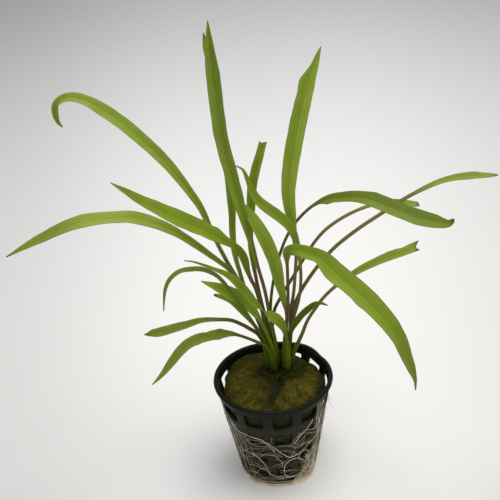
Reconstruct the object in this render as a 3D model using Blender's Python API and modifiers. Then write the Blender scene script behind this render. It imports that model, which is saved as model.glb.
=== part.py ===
# Potted cryptocoryne: a rosette of long narrow leaves on a short rhizome, wrapped in a plug of
# mineral wool that stands in a small net pot, with roots grown out of the pot and round it.
# Metres, +Z up. The origin is the centre of the pot's underside, and the viewer is on the -Y side.

import math

import bmesh
import bpy
import numpy as np
from mathutils import Vector

MM = 0.001
GAP = 0.3                        # clearance between touching pieces, mm
COLLECTION = "potted_cryptocoryne"

# Net pot, mm
POT_HEIGHT = 50.0
RIM_RADIUS = 27.5                # outside of the bead
BEAD_RADIUS = 1.1
BASE_RADIUS = 17.8
WALL = 1.2
WALL_TOP = 48.6                  # height where the wall ends inside the bead
NECK_HEIGHT = 47.0
NECK_RADIUS = 26.3               # outside of the wall at the neck
SECTORS = 12                     # windows in each row
PARTS_PER_SECTOR = 3             # one part is the bar, the other two are the window
BAR_ANGLE = -8.7                 # middle of one bar, degrees from the front towards +X
ROWS = 4
FIRST_WINDOW_TOP = 45.3
WINDOW_HEIGHT = 6.9
BAND_HEIGHT = 4.2
BASE_SLOT_INNER = 7.0
BASE_SLOT_OUTER = 15.0
BASE_ROUND = 0.7                 # the chamfer at the foot of the wall

# The rim is bent: pushed out at the back right, with a shallow kink beside it
BULGE_ANGLE, BULGE_WIDTH, BULGE_DEPTH = 145.0, 17.0, 1.3
KINK_ANGLE, KINK_WIDTH, KINK_DEPTH = 121.0, 7.0, -0.5
BEND_FADES_AT = 36.0             # height below which the wall is round again

# Mineral wool plug and rhizome, mm
WOOL_TOP = 45.0
WOOL_BOTTOM = WALL + GAP
WOOL_TOP_RADIUS = 23.2
WOOL_BOTTOM_RADIUS = 15.8
LUMP_HEIGHT = 2.2
BACK_RISE = 2.8                  # how much higher the plug stands along the back of the pot
SLIT_WIDTH = 1.6
SLIT_DEPTH = 9.0
SLIT_ANGLE = -10.0               # degrees from the front towards +X
CROWN_CENTRE = (4.5, 11.4)
CROWN_RADII = (10.6, 7.6)
CROWN_TOP = 46.2
CROWN_BOTTOM = 34.0
POCKET_MARGIN = 0.9

# Leaves, mm
PETIOLE_START = CROWN_TOP + GAP
BLADE_THICKNESS = 0.7
EDGE_THICKNESS = 0.35
BLADE_FOLD = 0.08                # how far the margins rise above the midrib, shares of the width
BLADE_LEAD = 0.04                # the petiole flattens from this share of the length before the blade
BLADE_OPENS_IN = 0.12            # and is flat after this share
STATION_SPACING = 6.5            # mm between two sections of a leaf

# Roots, mm
ROOT = 1.0                       # thickness of a main strand
COIL_RADII = (0.6, 0.7)          # section of the coil at the pot's foot: outwards, upwards
COIL_HEIGHT = 0.75               # its middle
COIL_SIDES = 26


def finish(name, colour, roughness):
    material = bpy.data.materials.new(name)
    material.use_nodes = True
    shader = material.node_tree.nodes["Principled BSDF"]
    shader.inputs["Base Color"].default_value = (*colour, 1.0)
    shader.inputs["Roughness"].default_value = roughness
    shader.inputs["Metallic"].default_value = 0.0
    material.diffuse_color = (*colour, 1.0)
    return material


def new_collection(name):
    collection = bpy.data.collections.new(name)
    bpy.context.scene.collection.children.link(collection)
    return collection


def add_object(name, mesh_builder, material, collection):
    mesh = bpy.data.meshes.new(name)
    mesh_builder.to_mesh(mesh)
    mesh_builder.free()
    piece = bpy.data.objects.new(name, mesh)
    mesh.materials.append(material)
    collection.objects.link(piece)
    return piece


def shade_round(piece, angle=40.0):
    piece.data.shade_smooth()
    piece.data.set_sharp_from_angle(angle=math.radians(angle))


def face_outwards(builder):
    builder.normal_update()
    bmesh.ops.recalc_face_normals(builder, faces=builder.faces)


def as_cutter(piece):
    piece.hide_render = True
    piece.display_type = "WIRE"


def spin_profile(profile, steps, first_angle=0.0):
    """Turn a profile of (radius, height) points in mm round the Z axis."""
    builder = bmesh.new()
    turn = math.radians(first_angle)
    points = [Vector((r * math.sin(turn), -r * math.cos(turn), z)) * MM for r, z in profile]
    line = [builder.verts.new(point) for point in points]
    edges = [builder.edges.new(pair) for pair in zip(line, line[1:])]
    bmesh.ops.spin(builder, geom=line + edges, cent=(0, 0, 0), axis=(0, 0, 1),
                   angle=math.tau, steps=steps, use_merge=True)
    bmesh.ops.remove_doubles(builder, verts=builder.verts, dist=1e-6)
    return builder


def front_angle(point):
    """Degrees from the front (-Y) towards +X."""
    return math.degrees(math.atan2(point.x, -point.y))


def angle_between(a, b):
    return (a - b + 180.0) % 360.0 - 180.0


def wall_radius(height):
    """Outside radius of the straight wall, mm."""
    return BASE_RADIUS + (NECK_RADIUS - BASE_RADIUS) * height / NECK_HEIGHT


def bend_rim(builder):
    """Push the bent part of the rim out and its kink in, fading down the wall."""
    for vert in builder.verts:
        height = vert.co.z / MM
        share = (height - BEND_FADES_AT) / (POT_HEIGHT - BEND_FADES_AT)
        if share <= 0.0:
            continue
        angle = front_angle(vert.co)
        push = 0.0
        for middle, width, depth in ((BULGE_ANGLE, BULGE_WIDTH, BULGE_DEPTH),
                                     (KINK_ANGLE, KINK_WIDTH, KINK_DEPTH)):
            push += depth * math.exp(-(angle_between(angle, middle) / width) ** 2)
        radius = vert.co.xy.length
        vert.co.xy *= 1.0 + push * share * MM / radius


def window_rows():
    """Top and bottom height of each row of windows, from the top row down."""
    pitch = WINDOW_HEIGHT + BAND_HEIGHT
    tops = [FIRST_WINDOW_TOP - row * pitch for row in range(ROWS)]
    return [(top, top - WINDOW_HEIGHT) for top in tops]


def make_net_pot(plastic, collection, cutters):
    steps = SECTORS * PARTS_PER_SECTOR
    part_angle = 360.0 / steps
    levels = [height for row in reversed(window_rows()) for height in reversed(row)]
    profile = [(0.0, 0.0), (BASE_SLOT_INNER, 0.0), (BASE_SLOT_OUTER, 0.0), (BASE_RADIUS - BASE_ROUND, 0.0),
               (wall_radius(BASE_ROUND), BASE_ROUND)]
    profile += [(wall_radius(height), height) for height in levels]
    profile += [(NECK_RADIUS, NECK_HEIGHT), (NECK_RADIUS + 0.2, WALL_TOP)]
    wall = spin_profile(profile, steps, BAR_ANGLE - part_angle / 2)

    windows = []
    for face in wall.faces:
        middle = face.calc_center_median()
        part = int((front_angle(middle) - BAR_ANGLE + part_angle / 2) % 360.0 // part_angle)
        is_bar = part % PARTS_PER_SECTOR == 0
        height = middle.z / MM
        in_row = any(low < height < top for top, low in window_rows())
        in_base = height < 0.01 and BASE_SLOT_INNER < middle.xy.length / MM < BASE_SLOT_OUTER
        if not is_bar and (in_row or in_base):
            windows.append(face)
    bmesh.ops.delete(wall, geom=windows, context="FACES")

    face_outwards(wall)
    base_face = min(wall.faces, key=lambda face: face.calc_center_median().xy.length)
    if base_face.normal.z > 0:
        bmesh.ops.reverse_faces(wall, faces=wall.faces)
    bend_rim(wall)
    pot = add_object("net_pot", wall, plastic, collection)

    bead_height = POT_HEIGHT - BEAD_RADIUS
    bead_middle = RIM_RADIUS - BEAD_RADIUS
    circle = [math.tau * i / 8 for i in range(9)]
    ring = spin_profile([(bead_middle + BEAD_RADIUS * math.sin(a), bead_height + BEAD_RADIUS * math.cos(a))
                         for a in circle], steps, BAR_ANGLE - part_angle / 2)
    face_outwards(ring)
    bend_rim(ring)
    bead = add_object("rim_bead_form", ring, plastic, cutters)
    as_cutter(bead)

    shell = pot.modifiers.new("wall", "SOLIDIFY")
    shell.thickness = WALL * MM
    shell.offset = -1.0
    shell.use_even_offset = True
    join = pot.modifiers.new("bead", "BOOLEAN")
    join.operation = "UNION"
    join.solver = "EXACT"
    join.object = bead
    shade_round(pot)
    return pot


def wool_surface(x, y):
    """Height that the plug's top stands above WOOL_TOP, mm."""
    lump = LUMP_HEIGHT * math.exp(-((x - 11.0) / 8.0) ** 2 - ((y + 7.0) / 10.0) ** 2)
    grain = 0.35 * math.sin(0.9 * x + 0.4 * y) + 0.3 * math.sin(0.7 * y - 0.5 * x + 1.0)
    return lump + grain


def make_wool_plug(wool, collection, cutters):
    profile = [(0.0, WOOL_BOTTOM), (WOOL_BOTTOM_RADIUS, WOOL_BOTTOM)]
    profile += [(WOOL_TOP_RADIUS, WOOL_TOP - 1.5), (WOOL_TOP_RADIUS - 0.9, WOOL_TOP - 0.2)]
    profile += [(radius, WOOL_TOP) for radius in (17.0, 12.0, 6.0)] + [(0.0, WOOL_TOP)]
    builder = spin_profile(profile, 28)
    face_outwards(builder)
    for vert in builder.verts:
        x, y, z = vert.co / MM
        angle = math.radians(front_angle(vert.co))
        squareness = 1.0 + 0.02 * math.cos(3 * angle + 0.6) + 0.015 * math.cos(5 * angle)
        vert.co.xy *= squareness
        if z > WOOL_TOP - 2.0:
            outwards = math.hypot(x, y) / WOOL_TOP_RADIUS
            edge_fade = 1.0 - 0.7 * outwards ** 6
            vert.co.z += BACK_RISE * max(0.0, y / WOOL_TOP_RADIUS) * outwards ** 4 * MM
            if z > WOOL_TOP - 1.0:
                vert.co.z += wool_surface(x, y) * edge_fade * MM
    plug = add_object("wool_plug", builder, wool, collection)

    pocket_radii = [radius + POCKET_MARGIN for radius in CROWN_RADII]
    pocket_floor = CROWN_BOTTOM - GAP
    pocket = bmesh.new()
    bmesh.ops.create_cone(pocket, cap_ends=True, segments=20, radius1=1.0, radius2=1.0, depth=1.0)
    for vert in pocket.verts:
        vert.co.x = (CROWN_CENTRE[0] + vert.co.x * pocket_radii[0]) * MM
        vert.co.y = (CROWN_CENTRE[1] + vert.co.y * pocket_radii[1]) * MM
        vert.co.z = (pocket_floor if vert.co.z < 0 else WOOL_TOP + 10.0) * MM
    pocket_form = add_object("crown_pocket_form", pocket, wool, cutters)
    as_cutter(pocket_form)

    slit = bmesh.new()
    bmesh.ops.create_cube(slit, size=1.0)
    length = WOOL_TOP_RADIUS + 12.0
    turn = math.radians(SLIT_ANGLE)
    direction = Vector((math.sin(turn), -math.cos(turn)))
    across = Vector((-direction.y, direction.x))
    for vert in slit.verts:
        along = (vert.co.y + 0.5) * length - 6.0
        side = vert.co.x * SLIT_WIDTH * (1.0 if vert.co.z > 0 else 0.4)
        flat = direction * along + across * side + Vector((2.0, 0.0))
        height = WOOL_TOP + 8.0 if vert.co.z > 0 else WOOL_TOP - SLIT_DEPTH
        vert.co = Vector((flat.x, flat.y, height)) * MM
    face_outwards(slit)
    slit_form = add_object("slit_form", slit, wool, cutters)
    as_cutter(slit_form)

    for form in (pocket_form, slit_form):
        cut = plug.modifiers.new(form.name, "BOOLEAN")
        cut.operation = "DIFFERENCE"
        cut.solver = "EXACT"
        cut.object = form
    shade_round(plug, 50.0)
    return plug


def make_crown(flesh, collection):
    builder = bmesh.new()
    bmesh.ops.create_cone(builder, cap_ends=True, segments=18, radius1=0.8, radius2=1.0, depth=1.0)
    for vert in builder.verts:
        vert.co.x = (CROWN_CENTRE[0] + vert.co.x * CROWN_RADII[0]) * MM
        vert.co.y = (CROWN_CENTRE[1] + vert.co.y * CROWN_RADII[1]) * MM
        vert.co.z = (CROWN_BOTTOM if vert.co.z < 0 else CROWN_TOP) * MM
    crown = add_object("crown", builder, flesh, collection)
    shade_round(crown)
    return crown


# Each leaf: a line of points (x, y, z) in mm from the crown to the tip, the way that its upper side
# faces at the foot and at the tip, and its widths as (share of its length, mm) from where the petiole
# opens into the blade. A leaf whose last width isn't a point's was cut or torn off there.
LEAVES = {
    "leaf_tall_front": dict(
        line=[(1.6, 11.8), (1.5, 11.4, 60), (0.2, 10.6, 76), (-1, 9.8, 90), (-3, 9, 103),
              (-5, 8.2, 116.2), (-8.8, 6.6, 130.4), (-12, 4, 150), (-14.2, 1.6, 169.4),
              (-14.8, -1.2, 189.8), (-14.8, -3.6, 206.2), (-14.6, -5, 218.2)],
        faces=((0.1, -1, 0.3), (0.1, -1, 0.3)),
        widths=[(0.33, 2.1), (0.42, 2.7), (0.5, 3.9), (0.61, 5.4), (0.67, 5.9), (0.76, 5.3), (0.87, 5),
                (0.91, 4.3), (0.95, 2.8), (1, 0.3)]),
    "leaf_tall_behind": dict(
        line=[(-1.8, 14.6), (-2.2, 14, 60), (-4, 14, 70), (-8, 14, 81), (-11, 15, 96),
              (-13, 15.2, 110.8), (-13.6, 16.8, 130.2), (-14.8, 18.6, 150.2), (-16.6, 20.6, 173.2),
              (-16.8, 22.6, 192.6), (-18.6, 24, 205.2)],
        faces=((0.3, -1, 0.2), (0.5, -1, 0.2)),
        widths=[(0.32, 2.3), (0.42, 3), (0.52, 4.3), (0.7, 4.5), (0.85, 3.8), (0.93, 2.8), (1, 0.3)]),
    "leaf_tall_right": dict(
        line=[(6.6, 16.4), (7, 16, 58), (9, 14.6, 72), (11.6, 13.6, 83), (13.4, 13.2, 98),
              (13.6, 13.2, 108), (12.6, 13.8, 122.6), (12.2, 14, 136.2), (14.6, 14, 153.2),
              (19, 13.8, 172.2), (22.4, 14, 185.8), (25.4, 14, 193), (27.8, 14.2, 199)],
        faces=((-0.1, -1, 0.3), (-0.1, -1, 0.3)),
        widths=[(0.4, 1.8), (0.44, 2.6), (0.5, 4.3), (0.56, 5.6), (0.62, 6.4), (0.69, 6.7), (0.8, 6.3),
                (0.88, 5.8), (0.93, 4.2), (0.97, 1.8), (1, 0.3)]),
    "leaf_cut_upright": dict(
        line=[(0.9, 15), (0.8, 14.4, 60), (-1, 14, 69), (-2.4, 13.6, 81), (-4, 14, 97.6),
              (-4.8, 15, 111), (-4.4, 16.2, 124.2), (-3.4, 17.4, 136.6), (-1.6, 18.2, 145),
              (0.6, 19, 151.6), (2.6, 20, 157.2)],
        faces=((0.2, -1, 0.2), (0.2, -1, 0.2)),
        widths=[(0.45, 1.75), (0.62, 2.2), (0.72, 3), (0.8, 3.7), (0.9, 3.9), (1, 3.4)]),
    "leaf_broad_centre": dict(
        line=[(6.4, 11), (7, 11, 60), (8.4, 9.8, 75), (7.3, 7.6, 85), (5.9, 6.8, 94), (3.9, 6, 106.5),
              (0.6, 5.7, 117.5), (-2.3, 6.3, 125), (-5.4, 8.6, 130), (-7.3, 10.6, 132.6),
              (-9, 12, 134.6)],
        faces=((0.3, -0.8, 0.6), (0.2, -0.7, 0.7)),
        widths=[(0.34, 1.9), (0.45, 3.2), (0.54, 4.9), (0.64, 5.7), (0.78, 5.5), (0.87, 4.3),
                (0.94, 2.4), (1, 0.3)]),
    "leaf_arched_left": dict(
        line=[(9.2, 10.4), (9.6, 10.2, 58), (11, 9.6, 72), (14, 8.4, 85), (15.4, 7.4, 97),
              (15, 7.4, 109.8), (13.6, 7.6, 117.2), (11.2, 7.8, 123.2), (6, 8, 129), (0.6, 8.6, 134.4),
              (-3, 9.2, 138.6), (-5.8, 10.2, 144.6), (-9, 11.6, 151)],
        faces=((0.3, -0.9, 0.3), (0.2, -0.8, 0.6)),
        widths=[(0.5, 1.7), (0.57, 2.2), (0.63, 3.3), (0.7, 4.3), (0.8, 4.3), (0.88, 3.4), (0.94, 1.3),
                (1, 0.3)]),
    "leaf_folded_right": dict(
        line=[(6.6, 8.4), (7, 8.2, 60), (8, 6.4, 74), (9, 3, 88), (9.4, -1, 105), (9.6, -5.2, 118.2),
              (11.2, -6.6, 120.8), (13.8, -7.6, 120.8), (18.2, -8.8, 119.4), (24, -11, 116.6),
              (31.8, -15.2, 109), (41, -20, 100.4), (48.6, -24.2, 91.6), (53.6, -27.4, 83.6),
              (57, -30, 74.4), (59.2, -31.8, 67.2), (60, -33, 61.2)],
        faces=((-0.6, -0.8, 0.2), (0.8, -0.5, 0.4)), spacing=4.2,
        widths=[(0.39, 1.8), (0.44, 3.4), (0.47, 5.2), (0.51, 5.2), (0.55, 7), (0.62, 8.5), (0.7, 8.9),
                (0.78, 8.4), (0.85, 7.2), (0.91, 5.6), (0.96, 3.2), (1, 0.3)]),
    "leaf_long_right": dict(
        line=[(4.2, 13.4), (3.8, 12.8, 60), (2.5, 11.9, 72), (2, 11.2, 84), (4.1, 11.8, 97.6),
              (9, 14.2, 111.3), (15.3, 16.5, 121.4), (24.4, 14.6, 130.6), (36.2, 8.4, 135),
              (44.4, 3.6, 136), (52.4, -0.6, 134.4), (64.4, -6.2, 130.4), (74.8, -11.8, 129.8),
              (77.8, -13.8, 131.4)],
        faces=((0.2, -0.8, 0.4), (0, -0.6, 1)),
        widths=[(0.55, 1.6), (0.6, 3), (0.65, 4.3), (0.7, 5.2), (0.76, 7), (0.82, 7.4), (0.9, 7.4),
                (0.95, 6), (0.98, 4.2), (1, 1.5)]),
    "leaf_edge_right": dict(
        line=[(8.6, 13.2), (9.4, 13, 58), (11.2, 12.4, 75.7), (14.6, 11.6, 86), (19.2, 11.8, 93.7),
              (24.4, 12.2, 100.6), (31.4, 13.6, 107.6), (40.6, 16, 113.6), (50.4, 19, 118.4),
              (65.4, 24.2, 124.2), (80.8, 30, 128.2), (94.2, 34.6, 128.6), (109, 39, 125)],
        faces=((0.2, -0.8, 0.5), (0, -0.5, 1)),
        widths=[(0.72, 1.6), (0.83, 2.5), (0.9, 3.8), (0.945, 4), (0.98, 2.6), (1, 0.3)]),
    "leaf_torn_right": dict(
        line=[(3.2, 17.4), (3.4, 16.8, 58), (3.6, 16.6, 73), (7.4, 16.6, 83), (11.8, 16.8, 91.2),
              (15.8, 17.6, 97.6), (21.6, 19.4, 106), (27.8, 21.2, 112.4), (35.8, 23.4, 116.8),
              (44.2, 25.8, 119.4), (52.6, 28.8, 120), (61.2, 32, 118.6), (69.4, 35.6, 115.6)],
        faces=((0.2, -0.8, 0.5), (0, -0.5, 1)),
        widths=[(0.76, 1.4), (0.86, 2.4), (0.93, 3.3), (1, 3.2)]),
    "leaf_cut_right": dict(
        line=[(11.4, 12.6), (11.4, 12, 53), (12, 11.4, 59), (13.7, 10.6, 65), (16.3, 9.4, 72.4),
              (20.2, 8, 79.2), (24.8, 5.8, 86.4), (30, 3, 93.6), (35.6, 0.4, 99.6), (41.4, -2.2, 104.8),
              (48, -4.8, 109.6), (55.2, -8.2, 114.4), (63, -12, 119.4)],
        faces=((0.2, -0.8, 0.5), (0, -0.6, 1)),
        widths=[(0.45, 1.75), (0.6, 2.2), (0.71, 3), (0.82, 3.7), (0.93, 4.2), (1, 4.1)]),
    "leaf_short_right": dict(
        line=[(10.6, 7.8), (10.6, 7.4, 60), (10.8, 6.4, 69.4), (12.4, 4.8, 76), (14.4, 2.8, 81),
              (17.2, 0.6, 85), (20.2, -1.8, 88), (23, -4.4, 90.2), (26, -7, 90.4)],
        faces=((0, -0.8, 0.6), (0, -0.7, 0.8)),
        widths=[(0.35, 1.6), (0.55, 2.2), (0.75, 2.7), (0.9, 2), (1, 0.3)]),
    "leaf_curled_left": dict(
        line=[(-1.4, 17.6), (-1.9, 18.1, 60), (-4.5, 19.4, 68), (-8, 20, 79), (-12.2, 20.6, 88.5),
              (-16.8, 20.8, 99), (-21, 21.4, 110), (-24.2, 22.6, 119.6), (-27, 23.6, 127.2),
              (-31.2, 24.6, 135), (-36.6, 26, 143.6), (-42.4, 27.2, 151.2), (-53.8, 28.6, 164),
              (-65.4, 29.6, 174.2), (-71.4, 30.2, 178), (-77.2, 30.8, 179.6), (-81.4, 30.8, 179),
              (-84.2, 30.8, 176.8), (-85, 30.6, 173.2), (-84.6, 30.4, 169.4), (-82.8, 30, 166.8)],
        faces=((-0.2, -0.8, 0.5), (0.2, -0.7, 1)), spacing=4.6,
        widths=[(0.4, 1.6), (0.47, 2.6), (0.53, 3.8), (0.65, 5), (0.75, 5.5), (0.83, 5), (0.89, 4),
                (0.93, 2.4), (0.98, 1.8), (1, 0.3)]),
    "leaf_edge_left": dict(
        line=[(-4.4, 16.4), (-4.4, 16.8, 60), (-6.5, 17, 72), (-8.7, 17, 80), (-12, 17, 90),
              (-16, 16.4, 97.8), (-20, 15.6, 103.6), (-26, 13.4, 110.8), (-32, 11.4, 117.6),
              (-37.8, 9, 123.2), (-44.4, 6.4, 128.8), (-51.4, 3.4, 133.4), (-59.2, 0, 136.6),
              (-74.6, -7, 139.2), (-88.2, -13.4, 138), (-103.2, -22, 133.6)],
        faces=((-0.2, -0.8, 0.5), (0, -0.6, 1)),
        widths=[(0.3, 1.9), (0.38, 2.4), (0.53, 4), (0.63, 5.8), (0.8, 6), (0.885, 5), (0.95, 3),
                (1, 0.3)]),
    "leaf_kinked_left": dict(
        line=[(-1.3, 11.6), (-1.6, 11.2, 60), (-2.7, 10.2, 75), (-4.6, 9.4, 90), (-6.8, 8.8, 97),
              (-8, 8.2, 102.2), (-8.8, 7.2, 107.6), (-10.2, 6.2, 112.2), (-12.2, 4.8, 116),
              (-15.2, 3.2, 119.4), (-19.2, 1.2, 123.6), (-24.2, -1.4, 128.6), (-30, -4.8, 133.8),
              (-36.6, -8.4, 140), (-43.8, -12.2, 146.8), (-50.4, -16.2, 154), (-57.4, -20, 161.8)],
        faces=((0, -1, 0.4), (0.1, -0.7, 1)), spacing=4.8,
        widths=[(0.38, 1.6), (0.46, 3.6), (0.5, 3.6), (0.55, 2.6), (0.6, 4.4), (0.65, 5.4), (0.77, 5.6),
                (0.86, 4.4), (0.93, 2.8), (1, 0.3)]),
    "leaf_hooked_left": dict(
        line=[(-1.6, 8.6), (-2.3, 8.4, 58), (-4.6, 7.4, 68), (-7, 5.4, 75.5), (-10.8, 2.2, 85.6),
              (-13.8, -0.2, 93), (-16.4, -2, 99), (-18.8, -3.8, 104.6), (-21, -5.2, 108.4),
              (-24.4, -7, 112), (-27.8, -8.6, 114.2), (-31.6, -10.2, 115.2), (-35.2, -11.6, 115.6),
              (-38.2, -13, 114.6), (-40.6, -14.6, 112.6), (-42.2, -16.2, 109.6), (-43, -17.8, 106),
              (-43.6, -19.6, 101.4)],
        faces=((0, -0.9, 0.5), (-0.4, -0.8, 0.6)), spacing=3.8,
        widths=[(0.3, 1.5), (0.6, 1.8), (0.75, 2.2), (0.9, 1.8), (1, 0.3)]),
    "leaf_crossing_left": dict(
        line=[(9.4, 5.6), (9.4, 5.2, 60), (6.9, 4.4, 71), (4.8, 3.4, 76.2), (1.4, 2.2, 80.4),
              (-1.8, 1.8, 85.2), (-4.8, 1.2, 89.8), (-8.4, 1, 94.8), (-12, 0.8, 99.2),
              (-16.6, 0.6, 103.6), (-22.8, 0.4, 108.2), (-28.8, 0.2, 111.8), (-34.6, 0, 113.4)],
        faces=((0.2, -0.8, 0.6), (0, -0.3, 1)),
        widths=[(0.24, 1.75), (0.34, 4.4), (0.42, 5.4), (0.5, 5), (0.69, 4.1), (0.85, 3.4), (0.95, 2),
                (1, 0.3)]),
    "leaf_bright_left": dict(
        line=[(1.2, 9.2), (0.2, 8.8, 61), (-2.2, 8, 74), (-4.2, 6.8, 80.8), (-7, 5.6, 86.4),
              (-11, 4.6, 90.4), (-16, 3, 94.2), (-21.8, 1.2, 98.8), (-28.2, -1, 103.6)],
        faces=((0, -0.9, 0.5), (0, -0.7, 0.8)),
        widths=[(0.35, 2.2), (0.5, 4.6), (0.62, 6), (0.72, 6), (0.86, 4.2), (0.94, 2.4), (1, 0.3)]),
    "leaf_stub_left": dict(
        line=[(-4.6, 13.6), (-5, 13.2, 60), (-7.4, 12.6, 69.6), (-12, 13.4, 77.4), (-17.2, 14.6, 83.2),
              (-24.4, 16, 85.8)],
        faces=((0, -0.9, 0.5), (0, -0.7, 0.8)),
        widths=[(0.5, 1.75), (0.7, 2.9), (0.85, 2.7), (1, 0.3)]),
    "leaf_low_left": dict(
        line=[(-3.4, 11.2), (-3.8, 11, 57), (-5.6, 9.4, 66.3), (-9, 7.6, 71.4), (-13.2, 5.8, 75.8),
              (-17.6, 4, 78.8), (-24, 1.8, 81.6), (-30.6, -1, 83.6), (-37, -4.4, 84.6),
              (-44.2, -7.8, 85), (-49.8, -10.2, 85.2), (-54.4, -12, 85.8)],
        faces=((0, -0.8, 0.7), (0, -0.6, 1)),
        widths=[(0.52, 1.6), (0.66, 2.2), (0.76, 3.8), (0.85, 4.2), (0.93, 3), (1, 0.3)]),
    "leaf_lowest_left": dict(
        line=[(0.4, 6.8), (-1.2, 6.4, 56), (-2.9, 6, 62.4), (-5.8, 5.4, 65.2), (-9.3, 4.8, 67.7),
              (-13.2, 3.8, 70.4), (-17, 2.2, 73), (-21.6, -0.2, 74.8), (-26.8, -3, 76),
              (-31.8, -6.2, 77), (-36, -8.8, 76.6), (-39.6, -11.6, 75), (-43, -14.4, 72.4),
              (-46.8, -18, 69.4), (-50, -20.8, 67.4), (-52.4, -23, 66.4)],
        faces=((0, -0.7, 0.8), (0, -0.6, 1)), spacing=3.8,
        widths=[(0.36, 1.2), (0.46, 3.6), (0.55, 4.9), (0.75, 5), (0.86, 3.8), (0.94, 2.2), (1, 0.3)]),
}


def smooth_line(points, steps):
    """Catmull-Rom curve through the points."""
    ends = [points[0] * 2 - points[1]] + points + [points[-1] * 2 - points[-2]]
    line = []
    for a, b, c, d in zip(ends, ends[1:], ends[2:], ends[3:]):
        for i in range(steps):
            t = i / steps
            line.append(0.5 * (2 * b + (c - a) * t + (2 * a - 5 * b + 4 * c - d) * t ** 2
                               + (3 * b - a - 3 * c + d) * t ** 3))
    return line + [points[-1]]


def even_stations(line, spacing):
    """Points at even distances along a line, and each one's share of its length."""
    lengths = [0.0]
    for a, b in zip(line, line[1:]):
        lengths.append(lengths[-1] + (b - a).length)
    count = round(lengths[-1] / spacing)
    shares = [i / count for i in range(count + 1)]
    marks = [share * lengths[-1] for share in shares]
    axes = [np.interp(marks, lengths, [point[axis] for point in line]) for axis in range(3)]
    return shares, [Vector(point) for point in zip(*axes)]


def make_leaf(name, leaf, material, collection):
    foot = (*leaf["line"][0], PETIOLE_START)
    points = [Vector(point) for point in [foot, *leaf["line"][1:]]]
    shares, line = even_stations(smooth_line(points, 8), leaf.get("spacing", STATION_SPACING))
    width_shares, widths = zip(*leaf["widths"])
    blade_start, petiole = leaf["widths"][0]
    face_foot, face_tip = (Vector(face).normalized() for face in leaf["faces"])

    builder = bmesh.new()
    rings = []
    for i, (share, point) in enumerate(zip(shares, line)):
        along = (line[min(i + 1, len(line) - 1)] - line[max(i - 1, 0)]).normalized()
        if i == 0:
            along = Vector((0, 0, 1))
        upper = face_foot.lerp(face_tip, share)
        side = along.cross(upper).normalized()
        upper = side.cross(along).normalized()
        width = float(np.interp(share, width_shares, widths))
        flatness = min(1.0, max(0.0, (share - blade_start + BLADE_LEAD) / BLADE_OPENS_IN))
        middle = petiole + (BLADE_THICKNESS - petiole) * flatness
        middle = min(middle, width)
        edge = petiole / 2 + (EDGE_THICKNESS - petiole / 2) * flatness
        edge = min(edge, middle)
        fold = BLADE_FOLD * width * flatness
        section = [(-0.5, edge / 2 + fold), (0.0, middle / 2), (0.5, edge / 2 + fold),
                   (0.5, fold - edge / 2), (0.0, -middle / 2), (-0.5, fold - edge / 2)]
        ring = [builder.verts.new((point + side * across * width + upper * rise) * MM)
                for across, rise in section]
        rings.append(ring)
    for ring, after in zip(rings, rings[1:]):
        for i in range(len(ring)):
            j = (i + 1) % len(ring)
            builder.faces.new((ring[i], ring[j], after[j], after[i]))
    builder.faces.new(rings[0])
    builder.faces.new(reversed(rings[-1]))
    face_outwards(builder)
    piece = add_object(name, builder, material, collection)
    shade_round(piece, 60.0)
    return piece


# Each main root strand: (degrees from the front towards +X, height in mm) on the pot's wall
ROOTS = {
    "root_long_loop": [(-58, 36.5), (-53, 34), (-43, 32.6), (-31, 32.1), (-18, 31.6), (-6, 27.7), (3, 22.8),
                       (12, 19.3), (20, 18.9), (28, 20.5), (40, 23), (50, 25), (57, 29), (61, 35), (64, 41)],
    "root_short_right": [(38, 36.5), (33, 33.8), (26, 31), (19, 27.6)],
    "root_ring_right": [(6, 12.4), (11, 16.4), (19, 17.2), (29, 14.8), (38, 9.9), (43, 5.5)],
    "root_slanting": [(-31, 20.2), (-23, 16.2), (-14, 9.2), (-5, 5.2)],
    "root_left_edge": [(-66, 37), (-61, 29), (-57, 20), (-54, 12), (-52, 5)],
    "root_right_edge": [(68, 33), (66, 24), (70, 15), (72, 6)],
}


def make_root(name, route, material, collection):
    points = []
    for angle, height in route:
        radius = wall_radius(height) + GAP + ROOT / 2
        turn = math.radians(angle)
        points.append(Vector((radius * math.sin(turn), -radius * math.cos(turn), height)))
    line = smooth_line(points, 2)
    curve = bpy.data.curves.new(name, "CURVE")
    curve.dimensions = "3D"
    curve.bevel_depth = ROOT / 2 * MM
    curve.bevel_resolution = 1
    curve.use_fill_caps = True
    spline = curve.splines.new("POLY")
    spline.points.add(len(line) - 1)
    for spline_point, point in zip(spline.points, line):
        spline_point.co = (*(point * MM), 1.0)
    curve.materials.append(material)
    strand = bpy.data.objects.new(name, curve)
    collection.objects.link(strand)
    return strand


def make_base_coil(material, collection):
    """The roots that circle the foot of the pot."""
    radius = BASE_RADIUS + GAP + COIL_RADII[0] + 0.25
    circle = [math.tau * i / 6 for i in range(7)]
    ring = spin_profile([(radius + COIL_RADII[0] * math.sin(a), COIL_HEIGHT + COIL_RADII[1] * math.cos(a))
                         for a in circle], COIL_SIDES)
    face_outwards(ring)
    coil = add_object("root_base_coil", ring, material, collection)
    shade_round(coil, 70.0)
    return coil


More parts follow.
